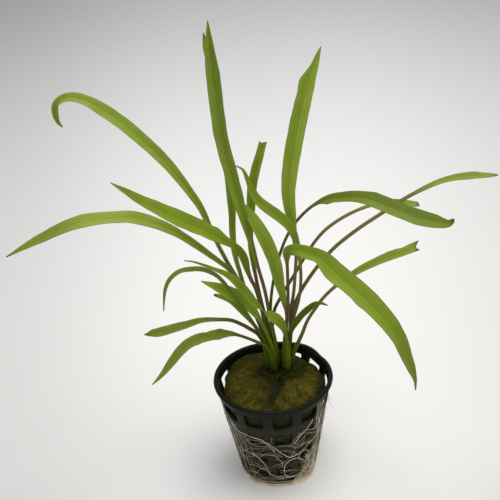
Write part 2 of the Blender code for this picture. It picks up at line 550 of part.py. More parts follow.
def main():
    for old in list(bpy.data.objects):
        bpy.data.objects.remove(old, do_unlink=True)
    collection = new_collection(COLLECTION)
    cutters = new_collection("forms")

    plastic = finish("black_plastic", (0.012, 0.013, 0.013), 0.45)
    wool = finish("mineral_wool", (0.075, 0.062, 0.014), 0.95)
    flesh = finish("rhizome", (0.05, 0.05, 0.02), 0.7)
    leaf_green = finish("leaf_green", (0.13, 0.21, 0.02), 0.4)
    root_cream = finish("root_cream", (0.5, 0.46, 0.33), 0.6)

    make_net_pot(plastic, collection, cutters)
    make_wool_plug(wool, collection, cutters)
    make_crown(flesh, collection)
    for name, leaf in LEAVES.items():
        make_leaf(name, leaf, leaf_green, collection)
    for name, route in ROOTS.items():
        make_root(name, route, root_cream, collection)
    make_base_coil(root_cream, collection)


main()
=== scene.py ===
import math
import random
from collections import Counter

import bpy
from mathutils import Matrix, Vector, noise


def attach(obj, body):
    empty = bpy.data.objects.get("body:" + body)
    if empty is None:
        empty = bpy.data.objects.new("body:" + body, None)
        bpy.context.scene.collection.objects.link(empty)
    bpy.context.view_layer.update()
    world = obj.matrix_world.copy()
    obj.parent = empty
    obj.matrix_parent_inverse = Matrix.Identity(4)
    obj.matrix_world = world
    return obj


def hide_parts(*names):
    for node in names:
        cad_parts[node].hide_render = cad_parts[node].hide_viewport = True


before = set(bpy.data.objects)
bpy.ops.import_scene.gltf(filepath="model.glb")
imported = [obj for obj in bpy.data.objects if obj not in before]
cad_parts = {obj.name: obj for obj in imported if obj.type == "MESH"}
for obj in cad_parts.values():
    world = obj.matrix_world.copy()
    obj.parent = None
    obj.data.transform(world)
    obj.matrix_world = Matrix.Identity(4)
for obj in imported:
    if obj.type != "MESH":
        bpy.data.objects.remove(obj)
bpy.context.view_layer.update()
mm = 0.001


# Shader maths: sockets that can be added and multiplied

class Wire:
    def __init__(self, finish, socket):
        self.finish, self.socket = finish, socket

    def maths(self, operation, first, second=0.0):
        return self.finish.add("ShaderNodeMath", {"operation": operation}, {0: first, 1: second})

    def __add__(self, other):
        return self.maths("ADD", self, other)

    def __radd__(self, other):
        return self.maths("ADD", other, self)

    def __sub__(self, other):
        return self.maths("SUBTRACT", self, other)

    def __rsub__(self, other):
        return self.maths("SUBTRACT", other, self)

    def __mul__(self, other):
        return self.maths("MULTIPLY", self, other)

    def __rmul__(self, other):
        return self.maths("MULTIPLY", other, self)

    def __truediv__(self, other):
        return self.maths("DIVIDE", self, other)

    def __pow__(self, other):
        return self.maths("POWER", self, other)

    def __abs__(self):
        return self.maths("ABSOLUTE", self)


class Finish:
    def __init__(self, name):
        self.material = bpy.data.materials.new(name)
        self.material.use_nodes = True
        self.tree = self.material.node_tree
        self.shader = self.tree.nodes["Principled BSDF"]

    def add(self, kind, settings=None, values=None, out=0):
        node = self.tree.nodes.new(kind)
        for key, value in (settings or {}).items():
            setattr(node, key, value)
        for key, value in (values or {}).items():
            self.join(value, node.inputs[key])
        return Wire(self, node.outputs[out])

    def join(self, value, socket):
        if isinstance(value, Wire):
            self.tree.links.new(value.socket, socket)
        elif hasattr(value, "__len__") and len(value) == 3 and socket.type == "RGBA":
            socket.default_value = (*value, 1.0)
        else:
            socket.default_value = value

    def set(self, values):
        for key, value in values.items():
            self.join(value, self.shader.inputs[key])

    def mix(self, share, first, second, blend="MIX"):
        return self.add("ShaderNodeMix", {"data_type": "RGBA", "blend_type": blend},
                        {0: share, 6: first, 7: second}, out=2)

    def layers(self, colour, *layers):       # (share, colour) laid over each other
        for share, paint in layers:
            colour = self.mix(share, colour, paint)
        return colour

    def dim(self, colour, light):
        grey = self.add("ShaderNodeCombineColor", None, {0: light, 1: light, 2: light})
        return self.mix(1.0, colour, grey, "MULTIPLY")

    def span(self, value, low, high):
        return self.add("ShaderNodeMapRange", {"interpolation_type": "SMOOTHSTEP"},
                        {0: value, 1: low, 2: high})

    def uv(self, name):
        return self.add("ShaderNodeUVMap", {"uv_map": name})

    def axis(self, letter, vector=None):     # without a vector, of the place on the object in metres
        vector = vector or self.add("ShaderNodeTexCoord", out="Object")
        return self.add("ShaderNodeSeparateXYZ", None, {0: vector}, out=letter)

    def channels(self, name):
        colour = self.add("ShaderNodeAttribute", {"attribute_name": name}, out="Color")
        node = self.add("ShaderNodeSeparateColor", None, {0: colour}).socket.node
        return [Wire(self, node.outputs[i]) for i in range(3)]

    def place(self, scale=(1, 1, 1), uv=None):
        source = self.uv(uv) if uv else self.add("ShaderNodeTexCoord", out="Object")
        return self.add("ShaderNodeMapping", None, {"Vector": source, "Scale": scale})

    def cloud(self, where, size, detail=3.0, roughness=0.55):
        return self.add("ShaderNodeTexNoise", None,
                        {"Vector": where, "Scale": size, "Detail": detail, "Roughness": roughness})

    def bump(self, height, strength, distance):
        return self.add("ShaderNodeBump", None,
                        {"Height": height, "Strength": strength, "Distance": distance})


# Modelling helpers

def deselect():
    if bpy.context.object and bpy.context.object.mode != "OBJECT":
        bpy.ops.object.mode_set(mode="OBJECT")
    bpy.ops.object.select_all(action="DESELECT")


def pick(piece):
    deselect()
    piece.select_set(True)
    bpy.context.view_layer.objects.active = piece


def named(name):
    piece = bpy.context.object
    piece.name = name
    piece.data.name = name
    return piece


def inEditMode(piece, *steps):
    pick(piece)
    bpy.ops.object.mode_set(mode="EDIT")
    for step in steps:
        step()
    bpy.ops.object.mode_set(mode="OBJECT")


def settle(piece):
    pick(piece)
    bpy.ops.object.transform_apply(location=True, rotation=True, scale=True)


def applyAll(piece):
    pick(piece)
    for modifier in list(piece.modifiers):
        bpy.ops.object.modifier_apply(modifier=modifier.name)


def closeMesh(piece, distance=0.00002):
    inEditMode(piece,
               lambda: bpy.ops.mesh.select_all(action="SELECT"),
               lambda: bpy.ops.mesh.remove_doubles(threshold=distance),
               lambda: bpy.ops.mesh.select_all(action="DESELECT"),
               lambda: bpy.ops.mesh.select_non_manifold(),
               lambda: bpy.ops.mesh.fill_holes(sides=0),
               lambda: bpy.ops.mesh.select_all(action="SELECT"),
               lambda: bpy.ops.mesh.normals_make_consistent(inside=False))


def smooth(piece, degrees=None):
    pick(piece)
    if degrees is None:
        bpy.ops.object.shade_smooth()
    else:
        bpy.ops.object.shade_smooth_by_angle(angle=math.radians(degrees))


def evenMesh(piece, size):
    remesh = piece.modifiers.new("even", "REMESH")
    remesh.mode, remesh.voxel_size = "VOXEL", size * mm
    applyAll(piece)


def roughen(piece, shift):
    normals = [vertex.normal.copy() for vertex in piece.data.vertices]
    for vertex, normal in zip(piece.data.vertices, normals):
        vertex.co += shift(vertex.co / mm, normal) * mm


def handIn(piece, finish, slot, *nodes):
    piece.data.materials.clear()
    piece.data.materials.append(finish.material)
    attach(piece, "root")
    if nodes:
        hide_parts(*nodes)
    return piece


def nodeName(name):                          # leafTallFront to leaf_tall_front
    return "".join("_" + letter.lower() if letter.isupper() else letter for letter in name)


def between(knots, at):
    if at <= knots[0][0]:
        return knots[0][1]
    for (a, low), (b, high) in zip(knots, knots[1:]):
        if at <= b:
            return low + (high - low) * (at - a) / (b - a)
    return knots[-1][1]


def ease(low, high, value):
    share = min(1.0, max(0.0, (value - low) / (high - low)))
    return share * share * (3 - 2 * share)


def hill(far, width, power=2):
    return math.exp(-abs(far / width) ** power)


def hills(knots, angle):                     # (middle, width, height) round a circle, in degrees
    return sum(high * hill((angle - middle + 180) % 360 - 180, width) for middle, width, high in knots)


def curved(points, steps):
    ends = [points[0] * 2 - points[1]] + points + [points[-1] * 2 - points[-2]]
    line = []
    for a, b, c, d in zip(ends, ends[1:], ends[2:], ends[3:]):
        for i in range(steps):
            t = i / steps
            line.append(0.5 * (2 * b + (c - a) * t + (2 * a - 5 * b + 4 * c - d) * t ** 2
                               + (3 * b - a - 3 * c + d) * t ** 3))
    return line + [points[-1]]


class Path:
    def __init__(self, points, steps=8):
        self.line = curved(points, steps)
        self.marks = [0.0]
        for a, b in zip(self.line, self.line[1:]):
            self.marks.append(self.marks[-1] + (b - a).length)
        self.length = self.marks[-1]
        self.last = 0

    def at(self, distance):
        if distance <= 0:
            return self.line[0] + (self.line[1] - self.line[0]).normalized() * distance
        if distance >= self.length:
            return self.line[-1] + (self.line[-1] - self.line[-2]).normalized() * (distance - self.length)
        i = self.last if self.marks[self.last] <= distance else 0
        while self.marks[i + 1] < distance:
            i += 1
        self.last = i
        share = (distance - self.marks[i]) / (self.marks[i + 1] - self.marks[i])
        return self.line[i].lerp(self.line[i + 1], share)

    def along(self, distance, reach=1.5):
        return (self.at(distance + reach) - self.at(distance - reach)).normalized()


# Camera and stage

cameraLook = {"place": (0.0, -361.7, 317.7), "tiltDown": 29.055, "turnLeft": 0.955, "roll": 4.5,
              "lens": 69.77}


def makeCamera():
    down, left, roll = (math.radians(cameraLook[key]) for key in ("tiltDown", "turnLeft", "roll"))
    forward = Vector((-math.sin(left) * math.cos(down), math.cos(left) * math.cos(down), -math.sin(down)))
    right = Vector((math.cos(left), math.sin(left), 0.0))
    up = right.cross(forward)
    right, up = (right * math.cos(roll) - up * math.sin(roll),
                 up * math.cos(roll) + right * math.sin(roll))
    turned = Matrix((right, up, -forward)).transposed().to_4x4()
    data = bpy.data.cameras.new("camera")
    data.lens = cameraLook["lens"]
    data.clip_start, data.clip_end = 0.01, 20.0
    camera = bpy.data.objects.new("camera", data)
    camera.matrix_world = Matrix.Translation(Vector(cameraLook["place"]) * mm) @ turned
    bpy.context.scene.collection.objects.link(camera)
    bpy.context.scene.camera = camera


stageLook = {"floorSize": 6.0, "floorColour": (0.755, 0.742, 0.733), "farShadeColour": (0.515, 0.51, 0.52),
             "farFrom": (0.12, 1.1), "leftShade": (-0.04, -0.24, 0.22), "rightShade": (0.05, 0.26, 0.2),
             "frontShade": (0.02, -0.10, 0.16), "widensFrom": 0.6, "world": (0.98, 0.99, 1.0),
             "worldStrength": 0.55, "lampsAimAt": (0, 0, 0.1)}

lights = {
    "softboxAbove": {"place": (0.25, 0.05, 1.1), "size": 1.0, "power": 11.0, "colour": (1.0, 0.985, 0.96)},
    "fillFront": {"place": (-0.5, -1.1, 0.8), "size": 1.1, "power": 3.0, "colour": (1.0, 1.0, 1.0)},
}


def makeFloor():
    look = stageLook
    deselect()
    bpy.ops.mesh.primitive_plane_add(size=look["floorSize"], location=(0, 0, 0))
    floor = named("floor")
    finish = Finish("palePaper")
    # painted shade: the floor greys towards the back and darkens to the left, the right and the front, for
    # the fall of the light
    depth = finish.axis("Y")
    aside = finish.axis("X") / (depth + look["widensFrom"])
    colour = finish.mix(finish.span(depth, *look["farFrom"]), look["floorColour"], look["farShadeColour"])
    shade = 1
    for value, (start, end, dark) in ((aside, look["leftShade"]), (aside, look["rightShade"]),
                                      (depth, look["frontShade"])):
        shade = shade - finish.span(value, start, end) * dark
    finish.set({"Base Color": finish.dim(colour, shade), "Roughness": 0.9, "Specular IOR Level": 0.1})
    floor.data.materials.append(finish.material)


def makeLight():
    world = bpy.data.worlds.new("softRoom")
    world.use_nodes = True
    background = world.node_tree.nodes["Background"]
    background.inputs["Color"].default_value = (*stageLook["world"], 1.0)
    background.inputs["Strength"].default_value = stageLook["worldStrength"]
    bpy.context.scene.world = world
    for name, look in lights.items():
        data = bpy.data.lights.new(name, "AREA")
        data.shape = "DISK"
        data.size = look["size"]
        data.energy = look["power"]
        data.color = look["colour"]
        lamp = bpy.data.objects.new(name, data)
        lamp.location = look["place"]
        aim = Vector(stageLook["lampsAimAt"]) - lamp.location
        lamp.rotation_euler = aim.to_track_quat("-Z", "Y").to_euler()
        bpy.context.scene.collection.objects.link(lamp)
    bpy.context.scene.view_settings.view_transform = "Standard"


makeCamera()
makeFloor()
makeLight()
print("camera and stage ready")


# Leaves, in mm: line from the crown to the tip, faces the way that the upper side looks at foot and tip,
# widths as (share of the length, width), the first where the petiole opens into the blade, edges as
# (share, side, bump, spread), end as (across, further), shade as (share, painted light and shade along
# the leaf), halves the painted light and shade of both halves, tone light (the leaf's own darkness and its
# painted light and shade together), grey and red, sheathed how green the foot is

leafLook = {"ringEvery": 1.1, "bladeThickness": 0.46, "marginThickness": 0.22, "fold": 0.1, "start": 46.5,
            "slimmer": 0.16, "opensIn": 0.12, "keel": 0.3, "wave": 0.3, "waveEvery": 13.0,
            "middle": (4.8, 11.2), "gather": (0.72, 0.82, 0.95), "sheath": 0.62, "sheathLength": 16.0,
            "across": (0, 0.06, 0.15, 0.28, 0.44, 0.6, 0.76, 0.9, 0.975), "brownTip": 3.0,
            "endReach": 8.0, "evenOver": 3.0, "groove": (0.12, 0.35), "ribWidth": 0.13, "ribFades": 0.6,
            "ribGroove": 0.06, "foldPower": 1.4, "smallWave": 0.4, "smallWaveEvery": 5.0,
            "wavePower": 1.6, "raggedEdge": 0.06, "raggedEvery": 6.0, "halfBlend": (-0.25, 0.2)}

leaves = {
    "leafTallFront": {
        "tone": (0.98, 0.15, 0.8), "halves": (1.16, 0.94), "brownTip": 1.5,
        "line": [(1.6, 11.8), (1.5, 11.4, 60), (0.2, 10.6, 76), (-1, 9.8, 90), (-3.3, 9, 103),
                 (-5.5, 8.2, 116.2), (-8.1, 6.6, 130.4), (-11.3, 4, 150), (-14.2, 1.6, 169.4),
                 (-14.8, -1.2, 189.8), (-15.3, -3.6, 206.2), (-15, -5, 218.2)],
        "faces": ((0.1, -1, 0.3), (0.1, -1, 0.3)),
        "widths": [(0.33, 1.9), (0.4, 2.5), (0.48, 4), (0.56, 5.2), (0.62, 5.6), (0.72, 5.6), (0.8, 5.6),
                   (0.86, 5.6), (0.9, 5), (0.94, 3.6), (0.97, 2), (1, 0.3)]},
    "leafTallBehind": {
        "tone": (0.98, 0.25, 0.25),
        "edges": [(0.965, -1, 0.4, 0.02), (0.915, -1, -0.5, 0.012)],
        "shade": [(0.3, 1.3), (0.42, 1.25), (0.5, 1)],
        "line": [(-1.8, 14.6), (-2.2, 14, 60), (-4, 14, 70), (-8, 14, 81), (-11.4, 15, 96),
                 (-13.5, 15.2, 110.8), (-12.9, 16.8, 130.2), (-13.6, 18.6, 150.2), (-16.6, 20.6, 173.2),
                 (-17, 22.6, 192.6), (-18.4, 24, 205.2)],
        "faces": ((0.3, -1, 0.2), (0.5, -1, 0.2)),
        "widths": [(0.32, 2.1), (0.42, 2.8), (0.52, 3.6), (0.7, 4.2), (0.85, 3.6), (0.92, 3.4),
                   (0.965, 2.8), (0.985, 1.6), (1, 0.3)]},
    "leafTallRight": {
        "tone": (1.28, 0.32, 0.6), "halves": (0.96, 1.1), "brownTip": 1.5,
        "edges": [(0.9, -1, 0.7, 0.018), (0.945, -1, -0.4, 0.02)],
        "sheathed": 0.4,
        "line": [(6.6, 16.4), (7, 16, 58), (9, 14.6, 72), (11.6, 13.6, 83), (13.4, 13.2, 98),
                 (14, 13.2, 108), (12.9, 13.8, 122.6), (12.2, 14, 136.2), (14.6, 14, 153.2),
                 (19, 13.8, 172.2), (22.9, 14, 185.8), (25.9, 14, 193), (28.2, 14.2, 199)],
        "faces": ((-0.1, -1, 0.3), (-0.1, -1, 0.3)),
        "widths": [(0.4, 1.8), (0.44, 2.6), (0.5, 4.3), (0.56, 5.7), (0.62, 6.5), (0.69, 7.1), (0.8, 7),
                   (0.86, 6.7), (0.9, 6.1), (0.93, 4.7), (0.97, 2.5), (1, 0.3)]},
    "leafCutUpright": {
        "tone": (1.1, 0.1, 1.0), "brownTip": 0.6,
        "end": [(-1, 0.6), (-0.4, -0.5), (0.2, 0.2), (0.7, 0.5), (1, 0.9)],
        "line": [(0.9, 15), (0.8, 14.4, 60), (-1, 14, 69), (-2.8, 13.6, 81), (-4.9, 14, 97.6),
                 (-5.9, 15, 111), (-4.9, 16.2, 124.2), (-3.6, 17.4, 136.6), (-1.6, 18.2, 145),
                 (0.6, 19, 151.6), (2.6, 20, 157.2)],
        "faces": ((0.2, -1, 0.2), (0.2, -1, 0.2)),
        "widths": [(0.45, 1.9), (0.62, 2.6), (0.72, 3.7), (0.8, 4.2), (0.9, 4.1), (1, 3.5)]},
    "leafBroadCentre": {
        "tone": (1.12, 0.25, 0.8), "halves": (0.95, 1.08),
        "line": [(6.4, 11), (7, 11, 60), (8.4, 9.8, 75), (7.3, 7.6, 85), (5.9, 6.8, 94), (4, 6, 106.5),
                 (0.8, 5.7, 117.5), (-2.3, 6.3, 125), (-5.4, 8.6, 130), (-7.3, 10.6, 132.6),
                 (-9, 12, 134.6)],
        "faces": ((0.3, -0.8, 0.6), (0.2, -0.7, 0.7)),
        "widths": [(0.34, 1.9), (0.45, 3.4), (0.54, 5.2), (0.64, 6.2), (0.78, 6.5), (0.87, 5.6),
                   (0.94, 3.4), (1, 0.3)]},
    "leafArchedLeft": {
        "tone": (0.98, 0.15, 0.4), "brownTip": 1.5,
        "line": [(9.2, 10.4), (9.6, 10.2, 58), (11, 9.6, 72), (14, 8.4, 85), (15.4, 7.4, 97),
                 (15, 7.4, 109.8), (13.6, 7.6, 117.2), (11.2, 7.8, 123.2), (6, 8, 129), (0.1, 8.6, 134.1),
                 (-2.8, 9.2, 138.6), (-4.9, 10.2, 144.8), (-6.6, 10.9, 149.4), (-9.6, 11.6, 151.2)],
        "faces": ((0.3, -0.9, 0.3), (0.2, -0.8, 0.6)),
        "widths": [(0.5, 1.7), (0.57, 2.2), (0.63, 3.4), (0.7, 4.6), (0.8, 4.7), (0.87, 3.8), (0.92, 2.2),
                   (0.96, 1.4), (1, 0.4)]},
    "leafFoldedRight": {
        "tone": (1.0, 0.0, 0.9), "halves": (1.0, 1.06),
        "shade": [(0.38, 0.75), (0.46, 0.92), (0.5, 1.0), (0.6, 0.98), (0.75, 0.95), (0.86, 0.8)],
        "opensIn": 0.06, "brownTip": 1.5,
        "edges": [(0.6, 1, 1.0, 0.03), (0.545, 1, -0.6, 0.015), (0.7, 1, 0.4, 0.02)],
        "line": [(6.6, 8.4), (7, 8.2, 60), (8, 6.4, 74), (9, 3, 88), (9.4, -1, 105), (9.5, -5.2, 116.6),
                 (11.4, -6.6, 119), (13.8, -7.6, 119.4), (18.2, -8.8, 118.4), (24, -11, 115.9),
                 (31.7, -15.2, 108.6), (41, -20, 100.4), (48.6, -24.2, 91.6), (53.6, -27.4, 83.6),
                 (57, -30, 74.4), (59.2, -31.4, 67.2), (60, -32.5, 61.2)],
        "faces": ((-0.6, -0.8, 0.2), (0.8, -0.5, 0.4)),
        "widths": [(0.415, 1.7), (0.435, 2.8), (0.455, 4.6), (0.48, 5), (0.52, 5.6), (0.58, 7.8),
                   (0.64, 9), (0.72, 9.5), (0.8, 9.4), (0.87, 8.3), (0.92, 6.6), (0.96, 4.2), (0.985, 2),
                   (1, 0.3)]},
    "leafLongRight": {
        "tone": (0.68, 0.1, 0.1), "halves": (0.94, 1.06), "opensIn": 0.07, "brownTip": 1.5,
        "edges": [(0.625, 1, 0.7, 0.015), (0.97, -1, -0.7, 0.02), (0.76, -1, 0.3, 0.012),
                  (0.86, -1, -0.3, 0.015)],
        "sheathed": 0.6,
        "line": [(2.2, 13.2), (1.4, 12.8, 60), (0.6, 11.9, 72), (1.5, 11.2, 84), (4.1, 11.8, 97.6),
                 (9, 14.2, 111.3), (15.3, 16.5, 120.6), (24.8, 14.6, 129.7), (36.2, 8.4, 134.4),
                 (44.4, 3.6, 135.4), (52.4, -0.6, 133.4), (64.4, -6.2, 129.6), (74.8, -11.8, 129.2),
                 (77.8, -13.8, 131.4)],
        "faces": ((0.2, -0.8, 0.4), (0, -0.6, 1)),
        "widths": [(0.585, 1.6), (0.605, 2.6), (0.63, 4.4), (0.66, 4.6), (0.7, 5.4), (0.76, 7),
                   (0.82, 7.6), (0.9, 7.7), (0.95, 6.6), (0.98, 4.8), (1, 2)]},
    "leafEdgeRight": {
        "tone": (0.9, 0.45, 0.15), "sheathed": 0.3,
        "line": [(8.6, 13.2), (9.4, 13, 58), (11.2, 12.4, 75.7), (14.6, 11.6, 86), (19.2, 11.8, 93.7),
                 (24.4, 12.2, 100.6), (31.4, 13.6, 107.6), (40.6, 16, 113.6), (50.4, 19, 118.4),
                 (65.4, 24.2, 124.7), (80.8, 30, 128.1), (94.2, 34.6, 127.6), (109, 39, 125)],
        "faces": ((0.2, -0.8, 0.5), (0, -0.5, 1)),
        "widths": [(0.72, 2), (0.8, 2.8), (0.88, 3.8), (0.945, 4.1), (0.98, 2.6), (1, 0.3)]},
    "leafTornRight": {
        "tone": (0.95, 0.35, 0.15), "brownTip": 0.6,
        "end": [(-1, -0.5), (-0.6, 0.9), (-0.2, 0.2), (0.2, 1.3), (0.6, -0.4), (1, -2.2)],
        "sheathed": 0.3,
        "line": [(0.6, 17.2), (0.2, 16.8, 58), (2.0, 16.6, 73), (6.9, 16.6, 83), (11.8, 16.8, 91.2),
                 (15.8, 17.6, 97.6), (21.6, 19.4, 106), (27.8, 21.2, 112.4), (35.8, 23.4, 116.8),
                 (44.2, 25.8, 119.4), (52.6, 28.8, 120), (61.4, 32, 118), (71.8, 36, 114.2)],
        "faces": ((0.2, -0.8, 0.5), (0, -0.5, 1)),
        "widths": [(0.76, 1.8), (0.86, 2.6), (0.93, 3.8), (1, 3.6)]},
    "leafCutRight": {
        "tone": (1.24, 0.45, 0.22), "brownTip": 0.6,
        "end": [(-1, 1.5), (-0.6, 0.2), (0, -0.5), (0.5, 0.4), (1, 2)],
        "edges": [(0.93, -1, -0.5, 0.02), (0.86, -1, 0.25, 0.015)],
        "sheathed": 0.15,
        "line": [(11.4, 12.6), (11.4, 12, 53), (13, 11.4, 59), (14.9, 10.6, 65), (17.4, 9.4, 72.4),
                 (20.9, 8, 79.2), (24.8, 5.8, 86.4), (30, 3, 93.6), (35.6, 0.4, 99.6), (41.4, -2.2, 104.8),
                 (48, -4.8, 109.6), (55.2, -8.2, 114.4), (63, -12, 119.4)],
        "faces": ((0.2, -0.8, 0.5), (0, -0.6, 1)),
        "widths": [(0.54, 1.8), (0.64, 2.5), (0.71, 3.3), (0.82, 4), (0.93, 4.6), (1, 4.9)]},
    "leafShortRight": {
        "tone": (0.55, 0.0, 0.1), "brownTip": 1.5,
        "line": [(9.0, 7.8), (9.0, 7.4, 60), (9.8, 6.4, 69.4), (12.2, 4.8, 75.2), (14.9, 2.8, 80.2),
                 (18, 0.6, 84.6), (20.4, -1.8, 88.2), (23, -4.4, 90.2), (26, -7, 90.4)],
        "faces": ((0, -0.8, 0.6), (0, -0.7, 0.8)),
        "widths": [(0.3, 1.6), (0.42, 2.2), (0.55, 2.9), (0.72, 3.2), (0.85, 2.4), (0.93, 1.6), (1, 0.3)]},
    "leafCurledLeft": {
        "tone": (1.06, 0.35, 0.1), "halves": (1.04, 0.96), "brownTip": 1.5,
        "shade": [(0.2, 1.3), (0.36, 1.3), (0.46, 1.0), (0.8, 1.0), (0.95, 0.9)],
        "line": [(-1.4, 17.6), (-1.9, 18.1, 60), (-4.5, 19.4, 68), (-8, 20, 79), (-12.2, 20.6, 88.5),
                 (-16.8, 20.8, 99), (-21, 21.4, 110), (-24.2, 22.6, 119.6), (-27, 23.6, 127.2),
                 (-31.2, 24.6, 135), (-36.6, 26, 143.6), (-42.4, 27.2, 151.2), (-53.8, 28.6, 164),
                 (-65.4, 29.6, 174.2), (-71.4, 30.2, 178), (-77.2, 30.8, 179.6), (-81.4, 30.8, 179),
                 (-84.2, 30.8, 176.8), (-85, 30.6, 173.2), (-84.6, 30.4, 169.4), (-82.8, 30, 166.8)],
        "faces": ((-0.2, -0.8, 0.5), (0.2, -0.7, 1)),
        "widths": [(0.4, 2.3), (0.47, 3), (0.53, 3.9), (0.65, 5.4), (0.75, 6.1), (0.83, 5.8), (0.88, 5),
                   (0.92, 3.8), (0.95, 3.2), (0.98, 2.2), (1, 0.4)]},
    "leafEdgeLeft": {
        "tone": (1.14, 0.5, 0.0),
        "shade": [(0.5, 0.85), (0.62, 1), (0.76, 1.0), (0.85, 0.72), (0.9, 0.68)],
        "line": [(-4.4, 16.4), (-4.4, 16.8, 60), (-6.5, 17, 72), (-8.7, 17, 80), (-12, 17, 90),
                 (-16, 16.4, 97.8), (-20.3, 15.6, 103.1), (-26.3, 13.4, 110.3), (-32.2, 11.4, 117.1),
                 (-37.8, 9, 123.2), (-44.4, 6.4, 128.8), (-51.4, 3.4, 133.4), (-59.2, 0, 136.6),
                 (-74.6, -7, 139.2), (-88.2, -13.4, 137), (-103.2, -22, 133.6)],
        "faces": ((-0.2, -0.8, 0.5), (0, -0.6, 1)),
        "widths": [(0.3, 1.9), (0.38, 2.4), (0.53, 4), (0.63, 5.8), (0.8, 6), (0.885, 5), (0.95, 3),
                   (1, 0.3)]},
    "leafKinkedLeft": {
        "tone": (1.08, 0.05, 0.6),
        "shade": [(0.46, 0.78), (0.54, 0.85), (0.58, 1), (0.82, 1), (0.92, 0.86)],
        "opensIn": 0.08, "brownTip": 1.5,
        "edges": [(0.6, 1, 0.4, 0.015), (0.65, 1, 0.3, 0.015)],
        "line": [(-1.3, 11.6), (-1.6, 11.2, 60), (-2.7, 10.2, 75), (-4.6, 9.4, 90), (-6.8, 8.8, 97),
                 (-8, 8.2, 102.2), (-8.8, 7.2, 107.6), (-10.2, 6.2, 112.2), (-12.2, 4.8, 116),
                 (-15.2, 3.2, 119.4), (-19.2, 1.2, 123.6), (-24.2, -1.4, 128.6), (-30, -4.8, 133.8),
                 (-36.6, -8.4, 140), (-43.8, -12.2, 146.8), (-50.4, -16.2, 154), (-57.4, -20, 161.8)],
        "faces": ((0, -1, 0.4), (0.1, -0.7, 1)),
        "widths": [(0.38, 2.1), (0.43, 3.4), (0.48, 4), (0.515, 3), (0.53, 2.6), (0.56, 4.4), (0.6, 6),
                   (0.66, 6.8), (0.76, 7.1), (0.84, 5.8), (0.9, 4.2), (0.95, 2.6), (1, 0.3)]},
    "leafHookedLeft": {
        "tone": (0.68, 0.4, 0.2),
        "line": [(-1.6, 8.6), (-2.3, 8.4, 58), (-4.6, 7.4, 68), (-7, 5.4, 75.5), (-10.8, 2.2, 85.6),
                 (-13.8, -0.2, 93), (-16.4, -2, 99), (-18.8, -3.8, 104.6), (-21, -5.2, 108.4),
                 (-24.4, -7, 112), (-27.8, -8.6, 114.2), (-31.6, -10.2, 115.2), (-35.2, -11.6, 115.6),
                 (-38.2, -13, 114.6), (-40.6, -14.6, 112.6), (-42.2, -16.2, 109.6), (-43, -17.8, 106),
                 (-43.6, -19.6, 101.4)],
        "faces": ((0, -0.9, 0.5), (-0.4, -0.8, 0.6)),
        "widths": [(0.3, 1.5), (0.6, 1.8), (0.75, 2.2), (0.9, 1.8), (1, 0.3)]},
    "leafCrossingLeft": {
        "tone": (0.95, 0.05, 0.2),
        "shade": [(0.4, 1.1), (0.5, 1.02), (0.75, 0.95), (0.9, 0.85)],
        "brownTip": 2,
        "edges": [(0.42, -1, 0.5, 0.02), (0.475, 1, -1.0, 0.018), (0.475, -1, -0.8, 0.018)],
        "line": [(8.4, 6.4), (8.4, 6.0, 60), (6.8, 4.6, 70.6), (4.6, 3.8, 76.6), (1.5, 3.0, 80.4),
                 (-1.8, 2.4, 83.5), (-4.2, 2.0, 86.7), (-6.6, 1.8, 89.7), (-8.8, 1.4, 93.8),
                 (-11.3, 1.1, 97.8), (-14.1, 0.9, 101.7), (-17.3, 0.7, 104.9), (-22.1, 0.5, 108.1),
                 (-26.7, 0.3, 110.8), (-30.8, 0.1, 112.8), (-34.6, 0.0, 113.8)],
        "faces": ((0.2, -0.8, 0.6), (0, -0.3, 1)),
        "widths": [(0.26, 1.8), (0.31, 3), (0.35, 4.6), (0.4, 5.6), (0.435, 4.4), (0.46, 1.6), (0.49, 0.9),
                   (0.515, 3), (0.56, 4.4), (0.63, 4.8), (0.7, 4.4), (0.78, 3.2), (0.86, 1.7), (0.94, 1.1),
                   (1, 0.3)]},
    "leafBrightLeft": {
        "tone": (1.42, 0.0, 0.2), "brownTip": 1.5,
        "line": [(0.6, 9.4), (-1.0, 8.8, 61), (-3.4, 8, 72.6), (-5.8, 6.8, 79.4), (-8.2, 5.6, 84.8),
                 (-11.6, 4.6, 89.6), (-16.2, 3, 93.8), (-21.8, 1.2, 98.6), (-28.2, -1, 103.6)],
        "faces": ((0, -0.9, 0.5), (0, -0.7, 0.8)),
        "widths": [(0.42, 1.7), (0.52, 3), (0.6, 5.4), (0.72, 6.6), (0.85, 4.8), (0.94, 2.4), (1, 0.3)]},
    "leafStubLeft": {
        "tone": (0.9, 0.1, 0.2),
        "line": [(-4.6, 13.6), (-5, 13.2, 60), (-7.4, 12.6, 69.6), (-12, 13.4, 77.4), (-17.2, 14.6, 83.2),
                 (-24.4, 16, 85.8)],
        "faces": ((0, -0.9, 0.5), (0, -0.7, 0.8)),
        "widths": [(0.5, 1.7), (0.7, 3), (0.85, 3), (0.94, 2.4), (1, 1)]},
    "leafLowLeft": {
        "tone": (0.72, 0.05, 0.35),
        "edges": [(0.95, 1, 0.6, 0.02)],
        "line": [(-3.4, 11.2), (-3.8, 11, 57), (-5.6, 9.4, 66.3), (-9, 7.6, 71.4), (-13.2, 5.8, 75.8),
                 (-17.6, 4, 79.3), (-24, 1.8, 81.5), (-30.6, -1, 83.3), (-37, -4.4, 83.7),
                 (-44.2, -7.8, 84), (-49.8, -10.2, 84.2), (-54.4, -12, 85.2)],
        "faces": ((0, -0.8, 0.7), (0, -0.6, 1)),
        "widths": [(0.56, 2), (0.66, 2.4), (0.74, 3.6), (0.82, 4.3), (0.9, 4.6), (0.95, 3.8), (0.975, 1.8),
                   (1, 0.3)]},
    "leafLowestLeft": {
        "tone": (0.73, 0.25, 0.25), "opensIn": 0.06, "brownTip": 2,
        "edges": [(0.53, -1, 0.5, 0.02), (0.5, 1, 0.5, 0.02), (0.585, 1, -0.4, 0.015),
                  (0.66, -1, 0.4, 0.02)],
